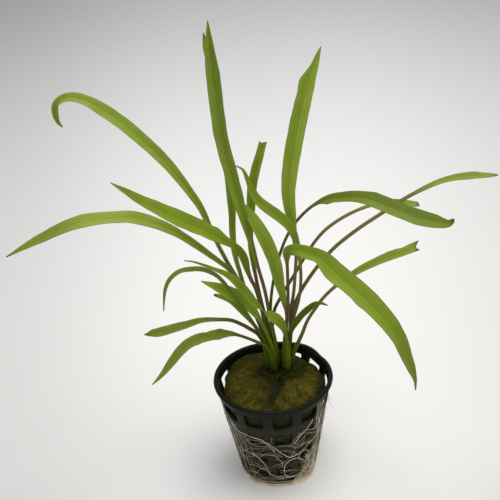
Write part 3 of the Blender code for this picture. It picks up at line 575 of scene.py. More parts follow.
        "line": [(0.4, 6.8), (-1.2, 6.4, 56), (-2.9, 6, 62.4), (-5.8, 5.4, 65.2), (-9.3, 4.8, 67.7),
                 (-13.2, 3.8, 70.4), (-17, 2.2, 73), (-21.6, -0.2, 74.8), (-26.8, -3, 76),
                 (-31.8, -6.2, 77), (-36, -8.8, 76.6), (-39.6, -11.6, 75), (-43, -14.4, 72.4),
                 (-46.8, -18, 69.4), (-50, -20.8, 67.4), (-52.4, -23, 66.4)],
        "faces": ((0, -0.7, 0.8), (0, -0.6, 1)),
        "widths": [(0.41, 1.6), (0.44, 2.6), (0.48, 4.2), (0.53, 5.2), (0.59, 4.5), (0.66, 4.8), (0.74, 5),
                   (0.83, 4.2), (0.91, 2.7), (0.96, 1.3), (1, 0.3)]},
}


leafPaints = {
    "lively": ((0.100, 0.165, 0.0015), (0.215, 0.290, 0.010)),
    "pale": ((0.20, 0.245, 0.035), (0.29, 0.33, 0.07)),
    # rib: darker along the midrib, its own colour with painted shade in the fold
    "streak": (0.065, 0.10, 0.004), "rib": (0.07, 0.09, 0.006), "thread": (0.30, 0.37, 0.08),
    "margin": (0.04, 0.06, 0.006), "under": (0.085, 0.13, 0.03),
    "stalk": ((0.088, 0.105, 0.018), (0.17, 0.185, 0.045)), "redStalk": (0.175, 0.088, 0.042),
    # foot: painted shade at the foot of the leaves, deep in the crown
    "sheath": ((0.028, 0.055, 0.0005), (0.18, 0.25, 0.004)), "foot": (0.015, 0.024, 0.001),
    "brown": (0.07, 0.055, 0.022)}


def leafFinish():
    paint = leafPaints
    finish = Finish("cryptLeaf")
    blade, under, brown = finish.channels("leafMarks")
    # light: each leaf's own darkness with its painted light and shade; grey: its greyness, raised where it
    # is painted lighter, a painted sheen
    light, grey, red = finish.channels("leafTone")
    sheathed = finish.add("ShaderNodeAttribute", {"attribute_name": "leafTone"}, out="Alpha")
    side = abs(finish.axis("X", finish.uv("leafUv")))
    distance = finish.axis("Y", finish.uv("leafUv"))     # from the crown, in tenths of a metre

    streaks = finish.cloud(finish.place((9.0, 7.0, 1.0), "leafUv"), 1.0, 4.0)
    lines = finish.cloud(finish.place((26.0, 3.0, 1.0), "leafUv"), 1.0, 2.0)
    threads = finish.cloud(finish.place((40.0, 1.2, 1.0), "leafUv"), 1.0, 1.0)
    patches = finish.cloud(finish.place(), 140.0, 3.0)
    grain = finish.cloud(finish.place(), 900.0, 4.0, 0.6)

    lively = finish.mix(streaks * 0.5 + patches * 0.5, *paint["lively"])
    pale = finish.mix(patches, *paint["pale"])
    towardMargin = finish.span(side + (streaks - 0.5) * 0.6, 0.3, 1.0)
    # pale comes in towards the margin and with grey, so partly as a painted sheen
    green = finish.layers(lively,
                          (towardMargin * 0.35 + grey * 0.7, pale),
                          (finish.span(lines, 0.5, 0.75) * 0.42, paint["streak"]),
                          # rib: darker along the midrib, its own colour with painted shade in the fold
                          (finish.span(side, 0.12, 0.03) * 0.18, paint["rib"]),
                          (finish.span(threads, 0.56, 0.68) * 0.5, paint["thread"]),
                          (finish.span(side, 0.86, 0.98) * 0.45, paint["margin"]),
                          (under * 0.35, paint["under"]))
    stalk = finish.mix(finish.span(streaks, 0.3, 0.7), *paint["stalk"])
    stalk = finish.mix(red * 0.85, stalk, paint["redStalk"])
    sheath = finish.mix(finish.span(streaks * 0.5 + threads * 0.5, 0.36, 0.62), *paint["sheath"])
    # foot: painted shade, the foot of each leaf darkened where it stands deep among the others in the crown
    colour = finish.layers(finish.mix(blade, stalk, green),
                           (finish.span(distance, 0.34, 0.12) * sheathed, sheath),
                           (finish.span(distance, 0.09, 0.0) * 0.7, paint["foot"]),
                           (brown, paint["brown"]))

    veins = finish.add("ShaderNodeTexWave", {"wave_type": "BANDS", "bands_direction": "X"},
                       {"Vector": finish.place((1.4, 0.15, 1.0), "leafUv"), "Scale": 1.0,
                        "Distortion": 1.2, "Detail": 2.0, "Detail Scale": 1.0})
    height = grain * 0.5 + veins * 0.35 * blade + streaks * 0.4
    finish.set({"Base Color": finish.dim(colour, light),
                "Roughness": 0.46 + streaks * 0.2,
                "Normal": finish.bump(height, 0.35, 0.0003),
                "Subsurface Weight": 0.3,
                "Subsurface Radius": (0.6, 1.0, 0.2),
                "Subsurface Scale": 0.0012,
                "Specular IOR Level": 0.16})
    return finish


def gathered(line):                          # drawn in round the crown's middle at the foot
    look = leafLook
    points = [Vector((*line[0], look["start"]))] + [Vector(point) for point in line[1:]]
    for i, share in enumerate(look["gather"]):
        middle = Vector((*look["middle"], points[i].z))
        points[i] = middle + (points[i] - middle) * share
    return points


def aroundLeaf():                            # (-1 to 1 across, 1 for the upper side), once round a section
    steps = leafLook["across"]
    upper = [-step for step in reversed((*steps, 1.0))] + list(steps[1:]) + [1.0]
    return [(s, 1) for s in upper] + [(s, -1) for s in reversed(upper[1:-1])] + [(-1.0, 1)]


def leafWidth(leaf, path, share, distance):
    look = leafLook
    reach = min(look["evenOver"], path.length - share * path.length)
    width = sum(between(leaf["widths"], share + step * reach / path.length / 2)
                for step in (-2, -1, 0, 1, 2)) / 5
    return width * (1 + look["sheath"] * hill(distance, look["sheathLength"], 1.6))


def petioleHeight(s, face, petiole, width):
    look = leafLook
    deep, wide = look["groove"]
    height = math.sqrt(max(0.0, 1 - s * s)) * face * min(petiole * (1 - look["slimmer"]), width) / 2
    return height - deep * petiole * hill(s, wide) * (face > 0)


def bladeHeight(s, face, share, width, fold):
    look = leafLook
    thick = look["marginThickness"] + (look["bladeThickness"] - look["marginThickness"]) * (1 - s * s)
    height = face * min(thick, width) / 2 * (abs(s) < 1)
    rib = hill(s, look["ribWidth"]) * (1 - look["ribFades"] * share)
    height -= rib * (look["keel"] if face < 0 else look["ribGroove"])
    return height + fold * width * abs(s) ** look["foldPower"]


def rippleHeight(s, distance, width, phase):
    look = leafLook
    half = 2.0 * (s > 0)
    large = noise.noise(Vector((distance / look["waveEvery"], half, 0)) + phase)
    small = noise.noise(Vector((distance / look["smallWaveEvery"], 7.0 + half, 0)) + phase)
    wide = min(1.0, width / 3)               # narrow stretches stay even
    return look["wave"] * (large + look["smallWave"] * small) * abs(s) ** look["wavePower"] * wide * 2


def leafOutline(leaf, s, share, distance, width, phase):
    look = leafLook
    at = Vector((distance / look["raggedEvery"], 20.0 + 3.0 * (s > 0), 0)) + phase
    outline = look["raggedEdge"] * noise.noise(at)
    for middle, side, bump, spread in leaf.get("edges", ()):
        if side * s > 0:
            outline += 2 * bump / width * hill(share - middle, spread)
    return outline


def shapeLeaf(name, leaf):
    look = leafLook
    path = Path(gathered(leaf["line"]))
    rings = round(path.length / look["ringEvery"])
    around = aroundLeaf()
    faceFoot, faceTip = (Vector(face).normalized() for face in leaf["faces"])
    bladeStart, petiole = leaf["widths"][0]
    fold = leaf.get("fold", look["fold"])
    opensIn = leaf.get("opensIn", look["opensIn"])
    brownTip = leaf.get("brownTip", look["brownTip"])
    shades = leaf.get("shade", [(0, 1.0)])
    endShape = leaf.get("end", [(0, 0)])
    light, grey, red = leaf["tone"]
    left, right = leaf.get("halves", (1.0, 1.0))
    phase = Vector((len(name) * 3.7, sum(map(ord, name)) * 0.13, 0))

    deselect()
    bpy.ops.mesh.primitive_grid_add(x_subdivisions=len(around) - 1, y_subdivisions=rings, size=1)
    piece = named(name)
    mesh = piece.data
    uvs = mesh.uv_layers[0]
    uvs.name = "leafUv"
    marks = mesh.color_attributes.new("leafMarks", "FLOAT_COLOR", "POINT")
    tone = mesh.color_attributes.new("leafTone", "FLOAT_COLOR", "POINT")
    uvAt = []
    for vertex in mesh.vertices:
        s, face = around[round((vertex.co.x + 0.5) * (len(around) - 1))]
        share = round((vertex.co.y + 0.5) * rings) / rings
        distance = share * path.length
        distance += between(endShape, s) * ease(path.length - look["endReach"], path.length, distance)
        along = path.along(distance) if share else Vector((0, 0, 1))
        sideways = along.cross(faceFoot.lerp(faceTip, share)).normalized()
        up = sideways.cross(along).normalized()
        flatness = ease(0, 1, (share - bladeStart + opensIn / 3) / opensIn)
        width = leafWidth(leaf, path, share, distance) * (1 - look["slimmer"] * (1 - flatness))
        low = petioleHeight(s, face, petiole, width)
        flat = bladeHeight(s, face, share, width, fold) + rippleHeight(s, distance, width, phase)
        outline = 1 + leafOutline(leaf, s, share, distance, width, phase) * flatness
        z = low + (flat - low) * flatness
        vertex.co = (path.at(distance) + sideways * s * width / 2 * outline + up * z) * mm
        browning = ease(path.length - brownTip, path.length, distance)
        marks.data[vertex.index].color = (flatness, face < 0, browning, 1.0)
        # painted light and shade: halves and the shade list make the leaf lighter and darker, and where
        # lighter also paler, a painted sheen
        half = (left + (right - left) * ease(*look["halfBlend"], s)) * between(shades, share)
        tone.data[vertex.index].color = (light * half, min(1.0, max(0.0, grey + half - 1)), red,
                                         leaf.get("sheathed", 1.0))
        uvAt.append((s, distance / 100))
    for loop in mesh.loops:
        uvs.data[loop.index].uv = uvAt[loop.vertex_index]
    closeMesh(piece)
    smooth(piece)
    return piece


# Short old leaf bases between and behind the petioles

sheathLook = {"count": 11, "from": -35.0, "to": 215.0, "ring": (6.2, 4.4), "lowest": 53.0, "highest": 62.0,
              "lean": 0.08, "light": (0.45, 0.9), "grey": (0.1, 0.4), "red": (0.1, 0.7),
              "green": (0.3, 1.0), "brownTip": (1.0, 5.0), "width": (1.6, 2.6), "opensIn": 0.1, "fold": 0.25,
              "widths": ((0.0, 1.0), (0.5, 0.9), (0.8, 0.6), (0.94, 0.3)), "tip": (1, 0.3)}


def sheathLine(draw, foot, outX, outY, top):
    start = leafLook["start"]
    line = [foot]
    for share in (0.25, 0.5, 0.75, 1.0):
        height = start + (top - start) * share
        away = sheathLook["lean"] * (height - start) * share
        line.append((foot[0] + away * outX + draw.gauss(0, 0.15), foot[1] + away * outY, height))
    return line


def makeSheaths(finish):
    look = sheathLook
    draw = random.Random(23)
    middleX, middleY = leafLook["middle"]
    sheaths = []
    for i in range(look["count"]):
        turn = math.radians(look["from"] + (look["to"] - look["from"]) * (i + draw.uniform(-0.3, 0.3))
                            / (look["count"] - 1))
        outX, outY = math.cos(turn), math.sin(turn)
        top = draw.uniform(look["lowest"], look["highest"])
        near = draw.uniform(0.75, 1.05)
        foot = (middleX + look["ring"][0] * near * outX, middleY + look["ring"][1] * near * outY)
        line = sheathLine(draw, foot, outX, outY, top)
        wide = draw.uniform(*look["width"])
        sheaths.append(shapeLeaf(f"sheath{i}", {
            "tone": tuple(draw.uniform(*look[key]) for key in ("light", "grey", "red")),
            "sheathed": draw.uniform(*look["green"]), "opensIn": look["opensIn"],
            "brownTip": draw.uniform(*look["brownTip"]), "line": line, "fold": look["fold"],
            "faces": ((-outX, -outY, 0.1), (-outX, -outY, 0.2)),
            "widths": [(share, wide * part) for share, part in look["widths"]] + [look["tip"]]}))
    deselect()
    for sheath in sheaths:
        sheath.select_set(True)
    bpy.context.view_layer.objects.active = sheaths[0]
    bpy.ops.object.join()
    return handIn(named("leafSheaths"), finish, "leaf_green")


cryptLeaf = leafFinish()
for name, leaf in leaves.items():
    handIn(shapeLeaf(name, leaf), cryptLeaf, "leaf_green", nodeName(name))
makeSheaths(cryptLeaf)
print("leaves ready")


# Net pot

potLook = {"height": 50.0, "rimRadius": 27.5, "bead": 1.1, "baseRadius": 17.8, "wall": 1.2,
           "wallTop": 48.6, "neckHeight": 47.0, "neckRadius": 26.3, "lipWidens": 0.2, "sectors": 12,
           "columns": 9, "barColumns": 3, "barAngle": -8.7, "rows": 4, "firstTop": 45.3, "windowHeight": 6.9,
           "bandHeight": 4.2, "slotInner": 7.0, "slotOuter": 15.0, "baseRound": 0.7, "corner": 0.8,
           "softEdge": 0.16, "softFrom": 50, "smoothBelow": 35, "bendFadesAt": 36.0,
           "bends": ((145.0, 17.0, 1.5), (121.0, 7.0, -0.5), (-150.0, 40.0, 0.9)),
           "black": (0.0042, 0.0048, 0.0018), "worn": (0.0105, 0.0115, 0.0050),
           "film": (0.034, 0.033, 0.017), "filmFrom": (0.0475, 0.036)}


def wallRadius(height):
    look = potLook
    return look["baseRadius"] + (look["neckRadius"] - look["baseRadius"]) * height / look["neckHeight"]


def frontAngle(x, y):
    return math.degrees(math.atan2(x, -y))


def bendRim(mesh):
    look = potLook
    for vertex in mesh.vertices:
        share = (vertex.co.z / mm - look["bendFadesAt"]) / (look["height"] - look["bendFadesAt"])
        if share > 0:
            push = hills(look["bends"], frontAngle(*vertex.co.xy))
            vertex.co.xy *= 1 + push * share * mm / vertex.co.xy.length


def raiseWall(rows, around, firstEdge):
    look = potLook
    levels = [(look["slotOuter"], 0.0), (look["baseRadius"] - look["baseRound"], 0.0),
              (wallRadius(look["baseRound"]), look["baseRound"])]
    levels += [(wallRadius(height), height) for row in reversed(rows) for height in row]
    levels += [(look["neckRadius"], look["neckHeight"]),
               (look["neckRadius"] + look["lipWidens"], look["wallTop"])]
    deselect()
    bpy.ops.mesh.primitive_circle_add(vertices=around, radius=look["slotInner"] * mm,
                                      rotation=(0, 0, math.radians(firstEdge)))
    pot = named("netPot")
    settle(pot)
    bpy.ops.object.mode_set(mode="EDIT")
    bpy.ops.mesh.select_mode(type="EDGE")
    bpy.ops.mesh.select_all(action="SELECT")
    radius, height = look["slotInner"], 0.0
    for wide, high in levels:
        bpy.ops.mesh.extrude_region_move(TRANSFORM_OT_translate={"value": (0, 0, (high - height) * mm)})
        bpy.ops.transform.resize(value=(wide / radius, wide / radius, 1), center_override=(0, 0, 0))
        radius, height = wide, high
    bpy.ops.mesh.select_all(action="DESELECT")
    bpy.ops.object.mode_set(mode="OBJECT")
    return pot


def closeBase(pot):                          # the solid middle of the base
    inner = (potLook["slotInner"] + 0.1) * mm
    for edge in pot.data.edges:
        edge.select = all(pot.data.vertices[i].co.length < inner for i in edge.vertices)
    inEditMode(pot, lambda: bpy.ops.mesh.edge_face_add(),
               lambda: bpy.ops.mesh.select_all(action="SELECT"),
               lambda: bpy.ops.mesh.normals_make_consistent(inside=False),
               lambda: bpy.ops.mesh.select_mode(type="FACE"),
               lambda: bpy.ops.mesh.select_all(action="DESELECT"))
    highest = max(pot.data.polygons, key=lambda face: face.center.z)
    if highest.normal.dot(highest.center) < 0:
        pot.data.flip_normals()


def cutWindows(pot, rows, around, firstEdge):
    look = potLook
    for face in pot.data.polygons:
        column = int((frontAngle(*face.center.xy) - firstEdge) % 360 / 360 * around)
        high = face.center.z / mm
        inRow = any(low < high < top for low, top in rows)
        inBase = high < 0.01 and look["slotInner"] < face.center.length / mm < look["slotOuter"]
        face.select = column % look["columns"] >= look["barColumns"] and (inRow or inBase)
    inEditMode(pot, lambda: bpy.ops.mesh.delete(type="FACE"),
               lambda: bpy.ops.mesh.select_mode(type="VERT"))


def roundWindows(pot):                       # a window's corner has four edges and three faces
    faceCount = Counter(i for face in pot.data.polygons for i in face.vertices)
    edgeCount = Counter(i for edge in pot.data.edges for i in edge.vertices)
    for vertex in pot.data.vertices:
        vertex.select = faceCount[vertex.index] == 3 and edgeCount[vertex.index] == 4
    inEditMode(pot, lambda: bpy.ops.mesh.bevel(offset=potLook["corner"] * mm, segments=3,
                                               affect="VERTICES"))


def thickenWall(pot):
    look = potLook
    wall = pot.modifiers.new("wall", "SOLIDIFY")
    wall.thickness, wall.offset, wall.use_even_offset = look["wall"] * mm, -1.0, True
    edges = pot.modifiers.new("softEdges", "BEVEL")
    edges.width, edges.segments = look["softEdge"] * mm, 2
    edges.limit_method, edges.angle_limit = "ANGLE", math.radians(look["softFrom"])
    applyAll(pot)


def addBead(pot, around):
    look = potLook
    deselect()
    bpy.ops.mesh.primitive_torus_add(major_segments=around, minor_segments=18,
                                     major_radius=(look["rimRadius"] - look["bead"]) * mm,
                                     minor_radius=look["bead"] * mm,
                                     location=(0, 0, (look["height"] - look["bead"]) * mm))
    bead = named("rimBead")
    settle(bead)
    bendRim(bead.data)
    join = pot.modifiers.new("bead", "BOOLEAN")
    join.operation, join.solver, join.object = "UNION", "EXACT", bead
    applyAll(pot)
    bpy.data.objects.remove(bead)


def makePot(finish):
    look = potLook
    around = look["sectors"] * look["columns"]
    firstEdge = look["barAngle"] - 180 / look["sectors"] * look["barColumns"] / look["columns"]
    pitch = look["windowHeight"] + look["bandHeight"]
    tops = [look["firstTop"] - pitch * i for i in range(look["rows"])]
    rows = [(top - look["windowHeight"], top) for top in tops]
    pot = raiseWall(rows, around, firstEdge)
    closeBase(pot)
    cutWindows(pot, rows, around, firstEdge)
    roundWindows(pot)
    bendRim(pot.data)
    thickenWall(pot)
    addBead(pot, around)
    smooth(pot, look["smoothBelow"])
    return handIn(pot, finish, "black_plastic", "net_pot")


def plasticFinish():
    look = potLook
    finish = Finish("potPlastic")
    wear = finish.cloud(finish.place(), 260.0, 5.0)
    fine = finish.cloud(finish.place(), 2200.0, 3.0)
    film = finish.span(finish.axis("Z"), *look["filmFrom"]) * (0.4 + 0.6 * finish.span(wear, 0.35, 0.7))
    colour = finish.mix(finish.span(wear, 0.5, 0.75) * 0.5, look["black"], look["worn"])
    finish.set({"Base Color": finish.mix(film * 0.6, colour, look["film"]),
                "Roughness": 0.34 + wear * 0.25, "Specular IOR Level": 0.11,
                "Normal": finish.bump(fine + wear * 0.6, 0.2, 0.0002)})
    return finish


potPlastic = plasticFinish()
makePot(potPlastic)
print("net pot ready")


# Mineral wool plug

woolLook = {"top": 45.0, "bottom": 1.5, "topRadius": 24.2, "bottomRadius": 15.8, "voxel": 0.42,
            "lump": (11.0, -7.0, 8.0, 10.0, 2.2), "backRise": 2.9, "flatLeft": -22.7,
            "dips": ((138.0, 13.0, 2.1), (112.0, 8.0, 1.3), (-98.0, 14.0, 0.9), (-142.0, 18.0, -1.3),
                     (166.0, 9.0, -1.1)), "dipsFrom": (0.8, 1.0),
            "crown": (4.0, 11.2, 9.6, 6.8), "funnel": 2.8, "funnelWidth": 1.12, "funnelPower": 2.4,
            "creaseFoot": 2.0, "creaseAngle": -17.0, "creaseDepth": 2.6, "creaseWidth": 2.1,
            "creaseSways": 0.9, "creaseOpens": (-12, -3), "creaseCloses": (8, 20), "creaseCloseBy": 0.7,
            "rimDrop": 1.1, "rimDropFrom": (0.86, 1.04), "uneven": 0.5, "unevenEvery": 4.5,
            "liftFrom": (7.0, 0.2), "clump": 0.6, "clumpEvery": 3.1, "grain": 0.4, "fibres": 2600,
            "fibreReach": 23.0, "fibreEnd": 23.8, "fibreSteps": 6, "fibreThickness": (0.08, 0.17)}


def fromCrown(x, y):
    crownX, crownY, crownWide, crownDeep = woolLook["crown"]
    return math.hypot((x - crownX) / crownWide, (y - crownY) / crownDeep)


def woolTop(x, y):
    look = woolLook
    outwards = math.hypot(x, y) / look["topRadius"]
    lumpX, lumpY, wide, deep, high = look["lump"]
    z = look["top"] + high * hill(x - lumpX, wide) * hill(y - lumpY, deep)
    z += look["backRise"] * max(0.0, y / look["topRadius"]) * outwards ** 4
    z -= hills(look["dips"], frontAngle(x, y)) * ease(*look["dipsFrom"], outwards)   # gaps at the rim
    z -= look["funnel"] * hill(fromCrown(x, y), look["funnelWidth"], look["funnelPower"])
    turn = math.radians(look["creaseAngle"])
    along = (x - look["creaseFoot"]) * math.sin(turn) - y * math.cos(turn)
    aside = (x - look["creaseFoot"]) * math.cos(turn) + y * math.sin(turn)
    aside += look["creaseSways"] * noise.noise(Vector((along / 4, 3.0, 0.0)))
    opened = ease(*look["creaseOpens"], along)
    opened *= 1 - look["creaseCloseBy"] * ease(*look["creaseCloses"], along)
    z -= look["creaseDepth"] * opened * hill(aside, look["creaseWidth"])
    z -= look["rimDrop"] * ease(*look["rimDropFrom"], outwards)
    every = look["unevenEvery"]
    return z + look["uneven"] * noise.noise(Vector((x / every, y / every, 1.0)))


def woolLumps(here, normal):
    look = woolLook
    inwards = look["clump"] * (abs(noise.noise(here / look["clumpEvery"])) - 0.25)
    inwards += look["grain"] * abs(noise.noise(Vector((here.x / 0.7, here.y / 1.3, here.z / 0.7))))
    return -normal * inwards


def makeWool(finish):
    look = woolLook
    deselect()
    bpy.ops.mesh.primitive_cone_add(vertices=120,
                                    radius1=look["bottomRadius"] * mm, radius2=look["topRadius"] * mm,
                                    depth=(look["top"] - look["bottom"]) * mm,
                                    location=(0, 0, (look["top"] + look["bottom"]) / 2 * mm))
    plug = named("woolPlug")
    settle(plug)
    evenMesh(plug, look["voxel"])
    below, full = look["liftFrom"]
    for vertex in plug.data.vertices:
        x, y, z = vertex.co / mm
        x = max(x, look["flatLeft"] + 0.5 * noise.noise(Vector((y / 3, z / 3, 0))))
        lift = ease(look["top"] - below, look["top"] - full, z)
        vertex.co = Vector((x, y, z + (woolTop(x, y) - look["top"]) * lift)) * mm
    plug.data.update()
    roughen(plug, woolLumps)
    smooth(plug)
    return handIn(plug, finish, "mineral_wool", "wool_plug")


def strands(name, routes, sides=4):
    curve = bpy.data.curves.new(name, "CURVE")
    curve.dimensions = "3D"
    curve.bevel_depth = mm
    curve.bevel_resolution = sides // 2 - 2
    curve.use_fill_caps = True
    for points, thickness, taper in routes:
        spline = curve.splines.new("POLY")
        spline.points.add(len(points) - 1)
        for i, (dot, point) in enumerate(zip(spline.points, points)):
            share = i / (len(points) - 1)
            dot.co = (*(Vector(point) * mm), 1.0)
            dot.radius = thickness / 2 * (1 - taper * share)
    piece = bpy.data.objects.new(name, curve)
    bpy.context.scene.collection.objects.link(piece)
    pick(piece)
    bpy.ops.object.convert(target="MESH")
    piece = bpy.context.object
    smooth(piece)
    return piece


def makeWoolFibres(finish):
    look = woolLook
    draw = random.Random(41)
    crownX, crownY = look["crown"][:2]
    reach, steps = look["fibreReach"], look["fibreSteps"]
    routes = []
    while len(routes) < look["fibres"]:
        x, y = draw.uniform(-reach, reach), draw.uniform(-reach, reach)
        if math.hypot(x, y) > reach or x < look["flatLeft"] or fromCrown(x, y) < 0.9:
            continue
        heading = math.atan2(y - crownY, x - crownX) + draw.gauss(0, 0.5)
        length, lift = draw.uniform(2.0, 7.0), draw.uniform(0.0, 0.45)
        points = []
        for i in range(steps + 1):
            arch = math.sin(math.pi * i / steps)
            points.append(Vector((x, y, woolTop(x, y) - 0.12 + lift * arch)))
            heading += draw.gauss(0, 0.22)
            x += math.cos(heading) * length / steps
            y += math.sin(heading) * length / steps
            if math.hypot(x, y) > look["fibreEnd"]:
                break
        if len(points) > 3:
            routes.append((points, draw.uniform(*look["fibreThickness"]), 0.5))
    return handIn(strands("woolFibres", routes), finish, "mineral_wool")


# Paints of the two finishes: dark, light and the painted shade of the side that shows in the windows

woolPaints = {
    "wetWool": ((0.013, 0.0115, 0.001), (0.092, 0.078, 0.006), (0.021, 0.023, 0.006)),
    "woolHair": ((0.026, 0.022, 0.002), (0.20, 0.17, 0.018), (0.035, 0.034, 0.010)),
    "stain": (0.016, 0.018, 0.003), "lump": (0.16, 0.145, 0.014), "left": (0.15, 0.115, 0.010),
    # the crease and crown paints are painted shade, in the crease and in the hollow round the crown
    "creaseShade": (0.012, 0.010, 0.001), "crown": (0.008, 0.009, 0.001), "rim": (0.012, 0.017, 0.004)}


def woolFinish(name):
    look, paint = woolLook, woolPaints
    dark, light, side = paint[name]
    finish = Finish(name)
    clumps = finish.cloud(finish.place(), 230.0, 5.0, 0.6)
    fine = finish.cloud(finish.place((1.0, 1.0, 2.5)), 1300.0, 4.0, 0.7)
    stains = finish.cloud(finish.place(), 95.0, 3.0)
    east, north, height = (finish.axis(letter) for letter in "XYZ")
    x, y = east - look["crown"][0] * mm, north - look["crown"][1] * mm
    reach = ((x * 0.8) * (x * 0.8) + (y * 1.1) * (y * 1.1)) ** 0.5
    fan = finish.add("ShaderNodeCombineXYZ", None,       # threads that run out from the crown
                     {0: finish.add("ShaderNodeMath", {"operation": "ARCTAN2"}, {0: y, 1: x}) * 9.0,
                      1: reach * 150.0, 2: height * 300.0})
    threads = finish.cloud(fan, 1.6, 4.0, 0.65) * 0.6 + fine * 0.4
    lumpX, lumpY = east - look["lump"][0] * mm, north - look["lump"][1] * mm
    lump = finish.span((lumpX * lumpX + lumpY * lumpY) ** 0.5, 0.012, 0.003)
    left = finish.span(east, 0.002, -0.012)
    # painted shade along the crease that runs down from the crown
    turn = math.radians(look["creaseAngle"])
    along = (east - look["creaseFoot"] * mm) * math.sin(turn) - north * math.cos(turn)
    aside = abs((east - 0.6 * mm) * math.cos(turn) + north * math.sin(turn) + (clumps - 0.5) * 0.005)
    creaseShade = finish.span(aside, 0.0066, 0.0010) * finish.span(along, 0.019, 0.004)
    # painted shade in the hollow round the crown
    shadeNearCrown = finish.span(reach + (clumps - 0.5) * 0.006, 0.0125, 0.0055)
    rim = (east * east + north * north) ** 0.5 + (clumps - 0.5) * 0.006
    # the side paint is painted shade: below the top, the wool that shows through the windows is darkened
    colour = finish.layers(finish.mix(finish.span(clumps * 0.5 + threads * 0.6, 0.40, 0.70), dark, light),
                           (finish.span(stains, 0.52, 0.66) * 0.5, paint["stain"]),
                           (lump * 0.34 * finish.span(threads, 0.38, 0.6), paint["lump"]),
                           (left * finish.span(threads, 0.36, 0.58) * 0.4, paint["left"]),
                           (creaseShade * 0.66, paint["creaseShade"]),
                           (shadeNearCrown * 0.85, paint["crown"]),
                           (finish.span(rim, 0.0185, 0.0235) * 0.7, paint["rim"]),
                           (finish.span(height, 0.0455, 0.0430), side))
    finish.set({"Base Color": colour, "Roughness": 0.7,
                "Normal": finish.bump(threads + clumps * 0.8, 0.9, 0.0009), "Specular IOR Level": 0.08})
    return finish


wetWool = woolFinish("wetWool")
woolHair = woolFinish("woolHair")
makeWool(wetWool)
makeWoolFibres(woolHair)
print("wool ready")


# Crown

crownLook = {"centre": (4.5, 11.4), "radii": (7.4, 5.6), "top": 45.0, "bottom": 34.0, "voxel": 0.4,
             "edgeDrop": 2.2, "large": (1.0, 2.2), "small": (0.4, 0.8), "inwards": 0.3,
             "hairs": 420, "hairsFrom": (0.45, 1.5), "hairSteps": 6, "hairStep": (0.5, 0.9),
             "hairDroop": 0.18, "hairThickness": (0.09, 0.2)}


def crownLumps(here, normal):
    look = crownLook
    reach = math.hypot((here.x - look["centre"][0]) / look["radii"][0],
                       (here.y - look["centre"][1]) / look["radii"][1])
    drop = look["edgeDrop"] * reach ** 3 * (here.z > look["top"] - 3)
    outwards = sum(high * noise.noise(here / every) for high, every in (look["large"], look["small"]))
    return normal * (outwards - look["inwards"]) - Vector((0, 0, drop))


def makeCrown(finish):
    look = crownLook
    deselect()
    bpy.ops.mesh.primitive_cylinder_add(vertices=64, radius=mm, depth=(look["top"] - look["bottom"]) * mm,
                                        location=(look["centre"][0] * mm, look["centre"][1] * mm,
                                                  (look["top"] + look["bottom"]) / 2 * mm),
                                        scale=(*look["radii"], 1))
    crown = named("crownFlesh")
    settle(crown)
    evenMesh(crown, look["voxel"])
    roughen(crown, crownLumps)
    smooth(crown)
    return handIn(crown, finish, "rhizome", "crown")


def fleshFinish(name, dark, light):
    finish = Finish(name)
    spots = finish.cloud(finish.place(), 500.0, 4.0)
    finish.set({"Base Color": finish.mix(finish.span(spots, 0.3, 0.75), dark, light),
                "Roughness": 0.6, "Normal": finish.bump(spots, 0.6, 0.0005), "Specular IOR Level": 0.06})
    return finish


def makeCrownHairs(finish):
    look = crownLook
    draw = random.Random(19)
    routes = []
    for i in range(look["hairs"]):
        turn, reach = draw.uniform(0, 2 * math.pi), draw.uniform(*look["hairsFrom"])
        point = Vector((look["centre"][0] + reach * look["radii"][0] * math.cos(turn),
                        look["centre"][1] + reach * look["radii"][1] * math.sin(turn), look["top"] - 1.2))
        heading = Vector((draw.gauss(0, 1), draw.gauss(0, 1), draw.uniform(0.1, 1.1))).normalized()
        points = []
        for step in range(look["hairSteps"]):
            points.append(point.copy())
            sway = Vector((draw.gauss(0, 0.35), draw.gauss(0, 0.35), -look["hairDroop"]))
            heading = (heading + sway).normalized()
            point += heading * draw.uniform(*look["hairStep"])
        routes.append((points, draw.uniform(*look["hairThickness"]), 0.6))
    return handIn(strands("crownHairs", routes), finish, "rhizome")


rhizomeFlesh = fleshFinish("rhizomeFlesh", (0.004, 0.006, 0.0005), (0.034, 0.034, 0.003))
crownFibre = fleshFinish("crownFibre", (0.010, 0.014, 0.001), (0.12, 0.13, 0.022))
makeCrown(rhizomeFlesh)
makeCrownHairs(crownFibre)
print("crown ready")


# Roots: (degrees from the front towards the right, height in mm) on the pot's wall

rootRoutes = {
    "rootLongLoop": (0.36, [(-58, 36.5), (-53, 34), (-43, 32.6), (-31, 32.1), (-18, 31.6), (-6, 27.7),
                            (3, 22.8), (12, 19.3), (20, 18.9), (28, 20.5), (40, 23), (50, 25), (57, 29),
                            (61, 35), (64, 41)]),
    "rootShortRight": (0.3, [(41, 38.5), (38, 36.5), (33, 33.8), (26, 31), (19, 27.6), (16, 26)]),
    "rootRingRight": (0.36, [(58, 6.7), (51, 4.5), (43, 7.3), (34, 12.9), (24, 16.5), (15, 17), (9, 14.9),
                             (6, 11), (7, 7.2), (12, 5.2), (22, 4.9), (33, 5.7), (40, 7.5), (43, 10)]),
    "rootSlanting": (0.32, [(-35, 20.1), (-29, 20.1), (-23, 16.8), (-18, 13.9), (-16, 11.2), (-14, 8.3),
                            (-9, 6.7), (-3, 6.1), (6, 6.3)]),
    "rootLeftEdge": (0.22, [(-66, 41), (-66, 37), (-61, 29), (-57, 20), (-54, 12), (-52, 5)]),
    "rootRightEdge": (0.28, [(64, 40), (68, 33), (66, 24), (70, 15), (72, 6)]),
}

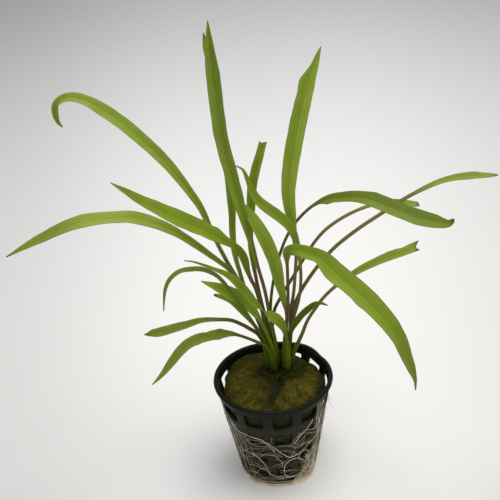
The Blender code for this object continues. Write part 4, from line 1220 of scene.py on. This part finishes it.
fineRoutes = [
    [(19, 27.1), (24, 31.1), (32, 33.6), (41, 31.8), (48, 31.1), (53, 32.1)],
    [(21, 26.2), (27, 28.2), (35, 30.8), (47, 27.9), (54, 28.1)],
    [(18, 24.6), (25, 23.7), (32, 24.8), (44, 23.9), (51, 24.9), (54, 27.7)],
    [(26, 16.3), (27, 19.5), (32, 20.6), (42, 17.4), (49, 18)],
    [(37, 11.6), (44, 13.2), (49, 14.8), (53, 17.4), (54, 20.9)],
    [(39, 18.3), (43, 14.4), (38, 12.4), (31, 12.3)],
    [(-33, 18.3), (-22, 21), (-12, 21.8), (-4, 20.8), (1, 18.3), (4, 15.3), (4, 12.3)],
    [(-38, 28.5), (-27, 30.4), (-16, 29.5), (-9, 26.4), (-2, 21.9), (5, 19.8)],
    [(-41, 31.1), (-32, 27.4), (-20, 26.9), (-9, 27), (-4, 24.2)],
    [(-59, 18.5), (-52, 17.4), (-50, 14.6), (-46, 13.2)],
    [(-54, 30.2), (-52, 26.1), (-48, 21.6), (-50, 15.5), (-49, 13)],
    [(-53, 37), (-51, 32.2), (-47, 28.4), (-40, 25.7), (-40, 20.2)],
    [(-44, 10.4), (-35, 11.6), (-28, 11), (-21, 10.7), (-16, 9.4), (-14, 7.1)],
    [(-30, 13.5), (-23, 12.3), (-17, 10.5)],
    [(-48, 5.4), (-36, 6.7), (-28, 5.7), (-24, 3.9)],
    [(-50, 0.9), (-34, 3.6), (-19, 3.8), (-1, 4.3), (15, 4.8), (28, 3.3), (39, 3.1), (52, 3.2), (60, 5.3)],
    [(47, 46), (47, 43.8), (48, 38.9), (48, 34.3), (46, 30.3)],
    [(50, 46), (50, 43.2), (50, 38.1), (52, 33.6), (51, 29)],
    [(54, 44.4), (55, 39), (55, 33.8), (55, 28.9), (56, 23.2), (58, 17.4), (58, 12.4), (56, 7.6)],
    [(0, 27.5), (11, 26.6), (20, 24.7), (29, 25.7)],
]

rootLook = {"lift": 0.15, "slimmer": 0.72, "floorGap": 0.05, "wiggle": (0.22, 3.0), "wander": 0.16,
            "step": 1.3, "seed": 7, "lobes": ((36.0, 26.0, 2.2), (-34.0, 20.0, 1.5), (-4.0, 18.0, 0.8)),
            "coilTurns": 17, "coilSteps": 60, "coilThickness": (0.2, 0.38), "massStrands": 26,
            "rightStrands": 9, "leftStrands": 5, "sideHairs": 30,
            "looseFrom": (70, 71, 42.2), "loose": ((6.6, 4.3), (1.6, 3.2)), "looseThickness": 0.22}

# Strands that wander over the wall: heights of their start, slope, length, thickness, distance from the
# wall and the heights between which they stay

tangles = {
    "bright": {"count": 30, "heights": (3, 30), "slope": 0.9, "length": (18, 50),
               "thickness": (0.08, 0.13), "out": 0.2, "stay": (0.6, 33)},
    "mat": {"count": 170, "heights": (2, 33), "slope": 1.3, "length": (14, 44),
            "thickness": (0.07, 0.14), "out": 0.08, "stay": (0.6, 34)},
    "inside": {"count": 50, "heights": (3, 34), "slope": 1.5, "length": (14, 40),
               "thickness": (0.2, 0.42), "out": -1.7, "stay": (2.5, 33)},
}


def onWall(angle, height, out):
    turn = math.radians(angle)
    radius = wallRadius(height) + out
    return Vector((radius * math.sin(turn), -radius * math.cos(turn), height))


def drawnRoot(draw, route, thickness, stray=0.0):
    look = rootLook
    out = look["lift"] + thickness / 2
    knots = [onWall(angle + draw.gauss(0, stray), max(0.5, height + draw.gauss(0, stray * 0.35)),
                    out + abs(draw.gauss(0, 0.15))) for angle, height in route]
    line = curved(knots, 6)
    shift = Vector((draw.uniform(0, 90), 0, 0))
    far, every = look["wiggle"]
    for point in line:
        wiggle = noise.noise_vector(point / every + shift) * far
        point += wiggle
        point.z = max(point.z, thickness / 2 + look["floorGap"])
    return line, thickness * look["slimmer"], 0.35


def wanderingRoot(draw, look):
    angle, height = draw.uniform(0, 360), draw.uniform(*look["heights"])
    heading, length = draw.uniform(-look["slope"], look["slope"]), draw.uniform(*look["length"])
    thickness, out = draw.uniform(*look["thickness"]), look["out"]
    low, high = look["stay"]
    step, bend = rootLook["step"], draw.gauss(0, 0.05)
    points = []
    for i in range(int(length / step)):
        points.append(onWall(angle, height, out + 0.25 * math.sin(i * 0.5 + angle)))
        heading += draw.gauss(bend, rootLook["wander"])
        angle += math.degrees(math.cos(heading) * step / (wallRadius(height) + out))
        height += math.sin(heading) * step
        if height < low or height > high:
            height = min(max(height, low), high)
            heading = -heading * 0.4         # turned back from the edge
    return points, thickness, 0.5


def tangle(draw, name):
    return [wanderingRoot(draw, tangles[name]) for i in range(tangles[name]["count"])]


def sideBundles(draw):
    routes = []
    for i in range(rootLook["rightStrands"]):
        top, side = draw.uniform(30, 46), draw.uniform(46, 72)
        route = [(side, top), (side + draw.gauss(0, 3), top * 0.75),
                 (side + draw.gauss(0, 4), top * 0.45), (side, 3)]
        routes.append(drawnRoot(draw, route, draw.uniform(0.1, 0.2), 2.5))
    for i in range(rootLook["leftStrands"]):
        side = draw.uniform(-66, -46)
        route = [(side, draw.uniform(30, 41)), (side + 4, 22), (side + 8, 10), (side + 12, 2)]
        routes.append(drawnRoot(draw, route, draw.uniform(0.08, 0.15), 3.0))
    return routes


def sideHairs(draw):                         # short ones that stand off the two sides
    routes = []
    for i in range(rootLook["sideHairs"]):
        side = draw.choice((-1, 1, 1)) * draw.uniform(62, 96)
        high = draw.uniform(8, 40)
        points = [onWall(side, high, 0.1)]
        points.append(onWall(side + draw.gauss(0, 2), high + draw.gauss(0, 1), 0.7))
        points.append(onWall(side + draw.gauss(0, 4), high + draw.gauss(-1, 1.5), draw.uniform(0.9, 2.0)))
        routes.append((points, draw.uniform(0.1, 0.16), 0.6))
    return routes


def looseRoots():                            # the two that hang free at the upper right
    look = rootLook
    first, then, high = look["looseFrom"]
    return [(curved([onWall(first, high, 0.1), onWall(then, high - drop * 0.3, reach * 0.25),
                     onWall(then, high - drop * 0.7, reach * 0.55), onWall(then, high - drop, reach)], 6),
             look["looseThickness"], 0.5) for drop, reach in look["loose"]]


def fineStrands(draw):
    routes = [drawnRoot(draw, route, draw.uniform(0.16, 0.27)) for route in fineRoutes]
    for route in fineRoutes[:9] + fineRoutes[12:]:       # a thinner companion
        routes.append(drawnRoot(draw, route, draw.uniform(0.09, 0.16), 2.2))
    return routes + sideBundles(draw) + tangle(draw, "bright") + sideHairs(draw) + looseRoots()


def paleMass(draw):                          # low on the right
    routes = []
    for i in range(rootLook["massStrands"]):
        side, high = draw.uniform(34, 70), draw.uniform(8, 18)
        route = [(side, high), (side + draw.gauss(2, 6), high * 0.6),
                 (side + draw.gauss(0, 9), 2.5), (side - 14, 1.2)]
        routes.append(drawnRoot(draw, route, draw.uniform(0.16, 0.32), 2.5))
    return routes


def baseCoil(draw):
    look = rootLook
    routes = []
    for i in range(look["coilTurns"]):
        high, out = draw.uniform(0.3, 2.6), draw.uniform(0.1, 0.45)
        start, sweep, loose = draw.uniform(0, 360), draw.uniform(110, 330), draw.uniform(0.0, 1.0)
        line = []
        for k in range(look["coilSteps"] + 1):
            angle = start + sweep * k / look["coilSteps"]
            spread = hills(look["lobes"], angle) * loose
            rise = high + 0.5 * noise.noise(Vector((k / 9, i, 0)))
            sway = 0.25 * noise.noise(Vector((k / 10, i, 5)))
            line.append(onWall(angle, max(0.3, rise * (1 - 0.6 * min(1.0, spread))), out + spread + sway))
        routes.append((line, draw.uniform(*look["coilThickness"]), 0.3))
    return routes


def rootFinish(name, dark, light, glow):
    finish = Finish(name)
    patches = finish.cloud(finish.place(), 160.0, 4.0)
    fine = finish.cloud(finish.place(), 1800.0, 3.0)
    colour = finish.mix(finish.span(patches, 0.35, 0.7), dark, light)
    finish.set({"Base Color": colour, "Roughness": 0.5, "Normal": finish.bump(fine, 0.4, 0.0002),
                "Subsurface Weight": glow, "Subsurface Radius": (1.0, 0.8, 0.5),
                "Subsurface Scale": 0.0008})
    return finish


creamRoot = rootFinish("creamRoot", (0.52, 0.455, 0.27), (0.95, 0.89, 0.69), 0.2)
coilRoot = rootFinish("coilRoot", (0.50, 0.40, 0.21), (0.96, 0.86, 0.60), 0.2)
dullRoot = rootFinish("dullRoot", (0.022, 0.020, 0.008), (0.16, 0.145, 0.075), 0.1)


def makeRoots():
    draw = random.Random(rootLook["seed"])
    noise.seed_set(rootLook["seed"])         # noise_vector, for the strands' wiggle, starts from it
    for name, (thickness, route) in rootRoutes.items():
        piece = strands(name, [drawnRoot(draw, route, thickness)], sides=8)
        handIn(piece, creamRoot, "root_cream", nodeName(name))
    handIn(strands("fineRoots", fineStrands(draw)), creamRoot, "root_cream")
    handIn(strands("rootMat", tangle(draw, "mat")), dullRoot, "root_cream")
    handIn(strands("innerRoots", tangle(draw, "inside")), dullRoot, "root_cream")
    coil = strands("rootBaseCoil", paleMass(draw) + baseCoil(draw))
    handIn(coil, coilRoot, "root_cream", "root_base_coil")


makeRoots()
print("roots ready")
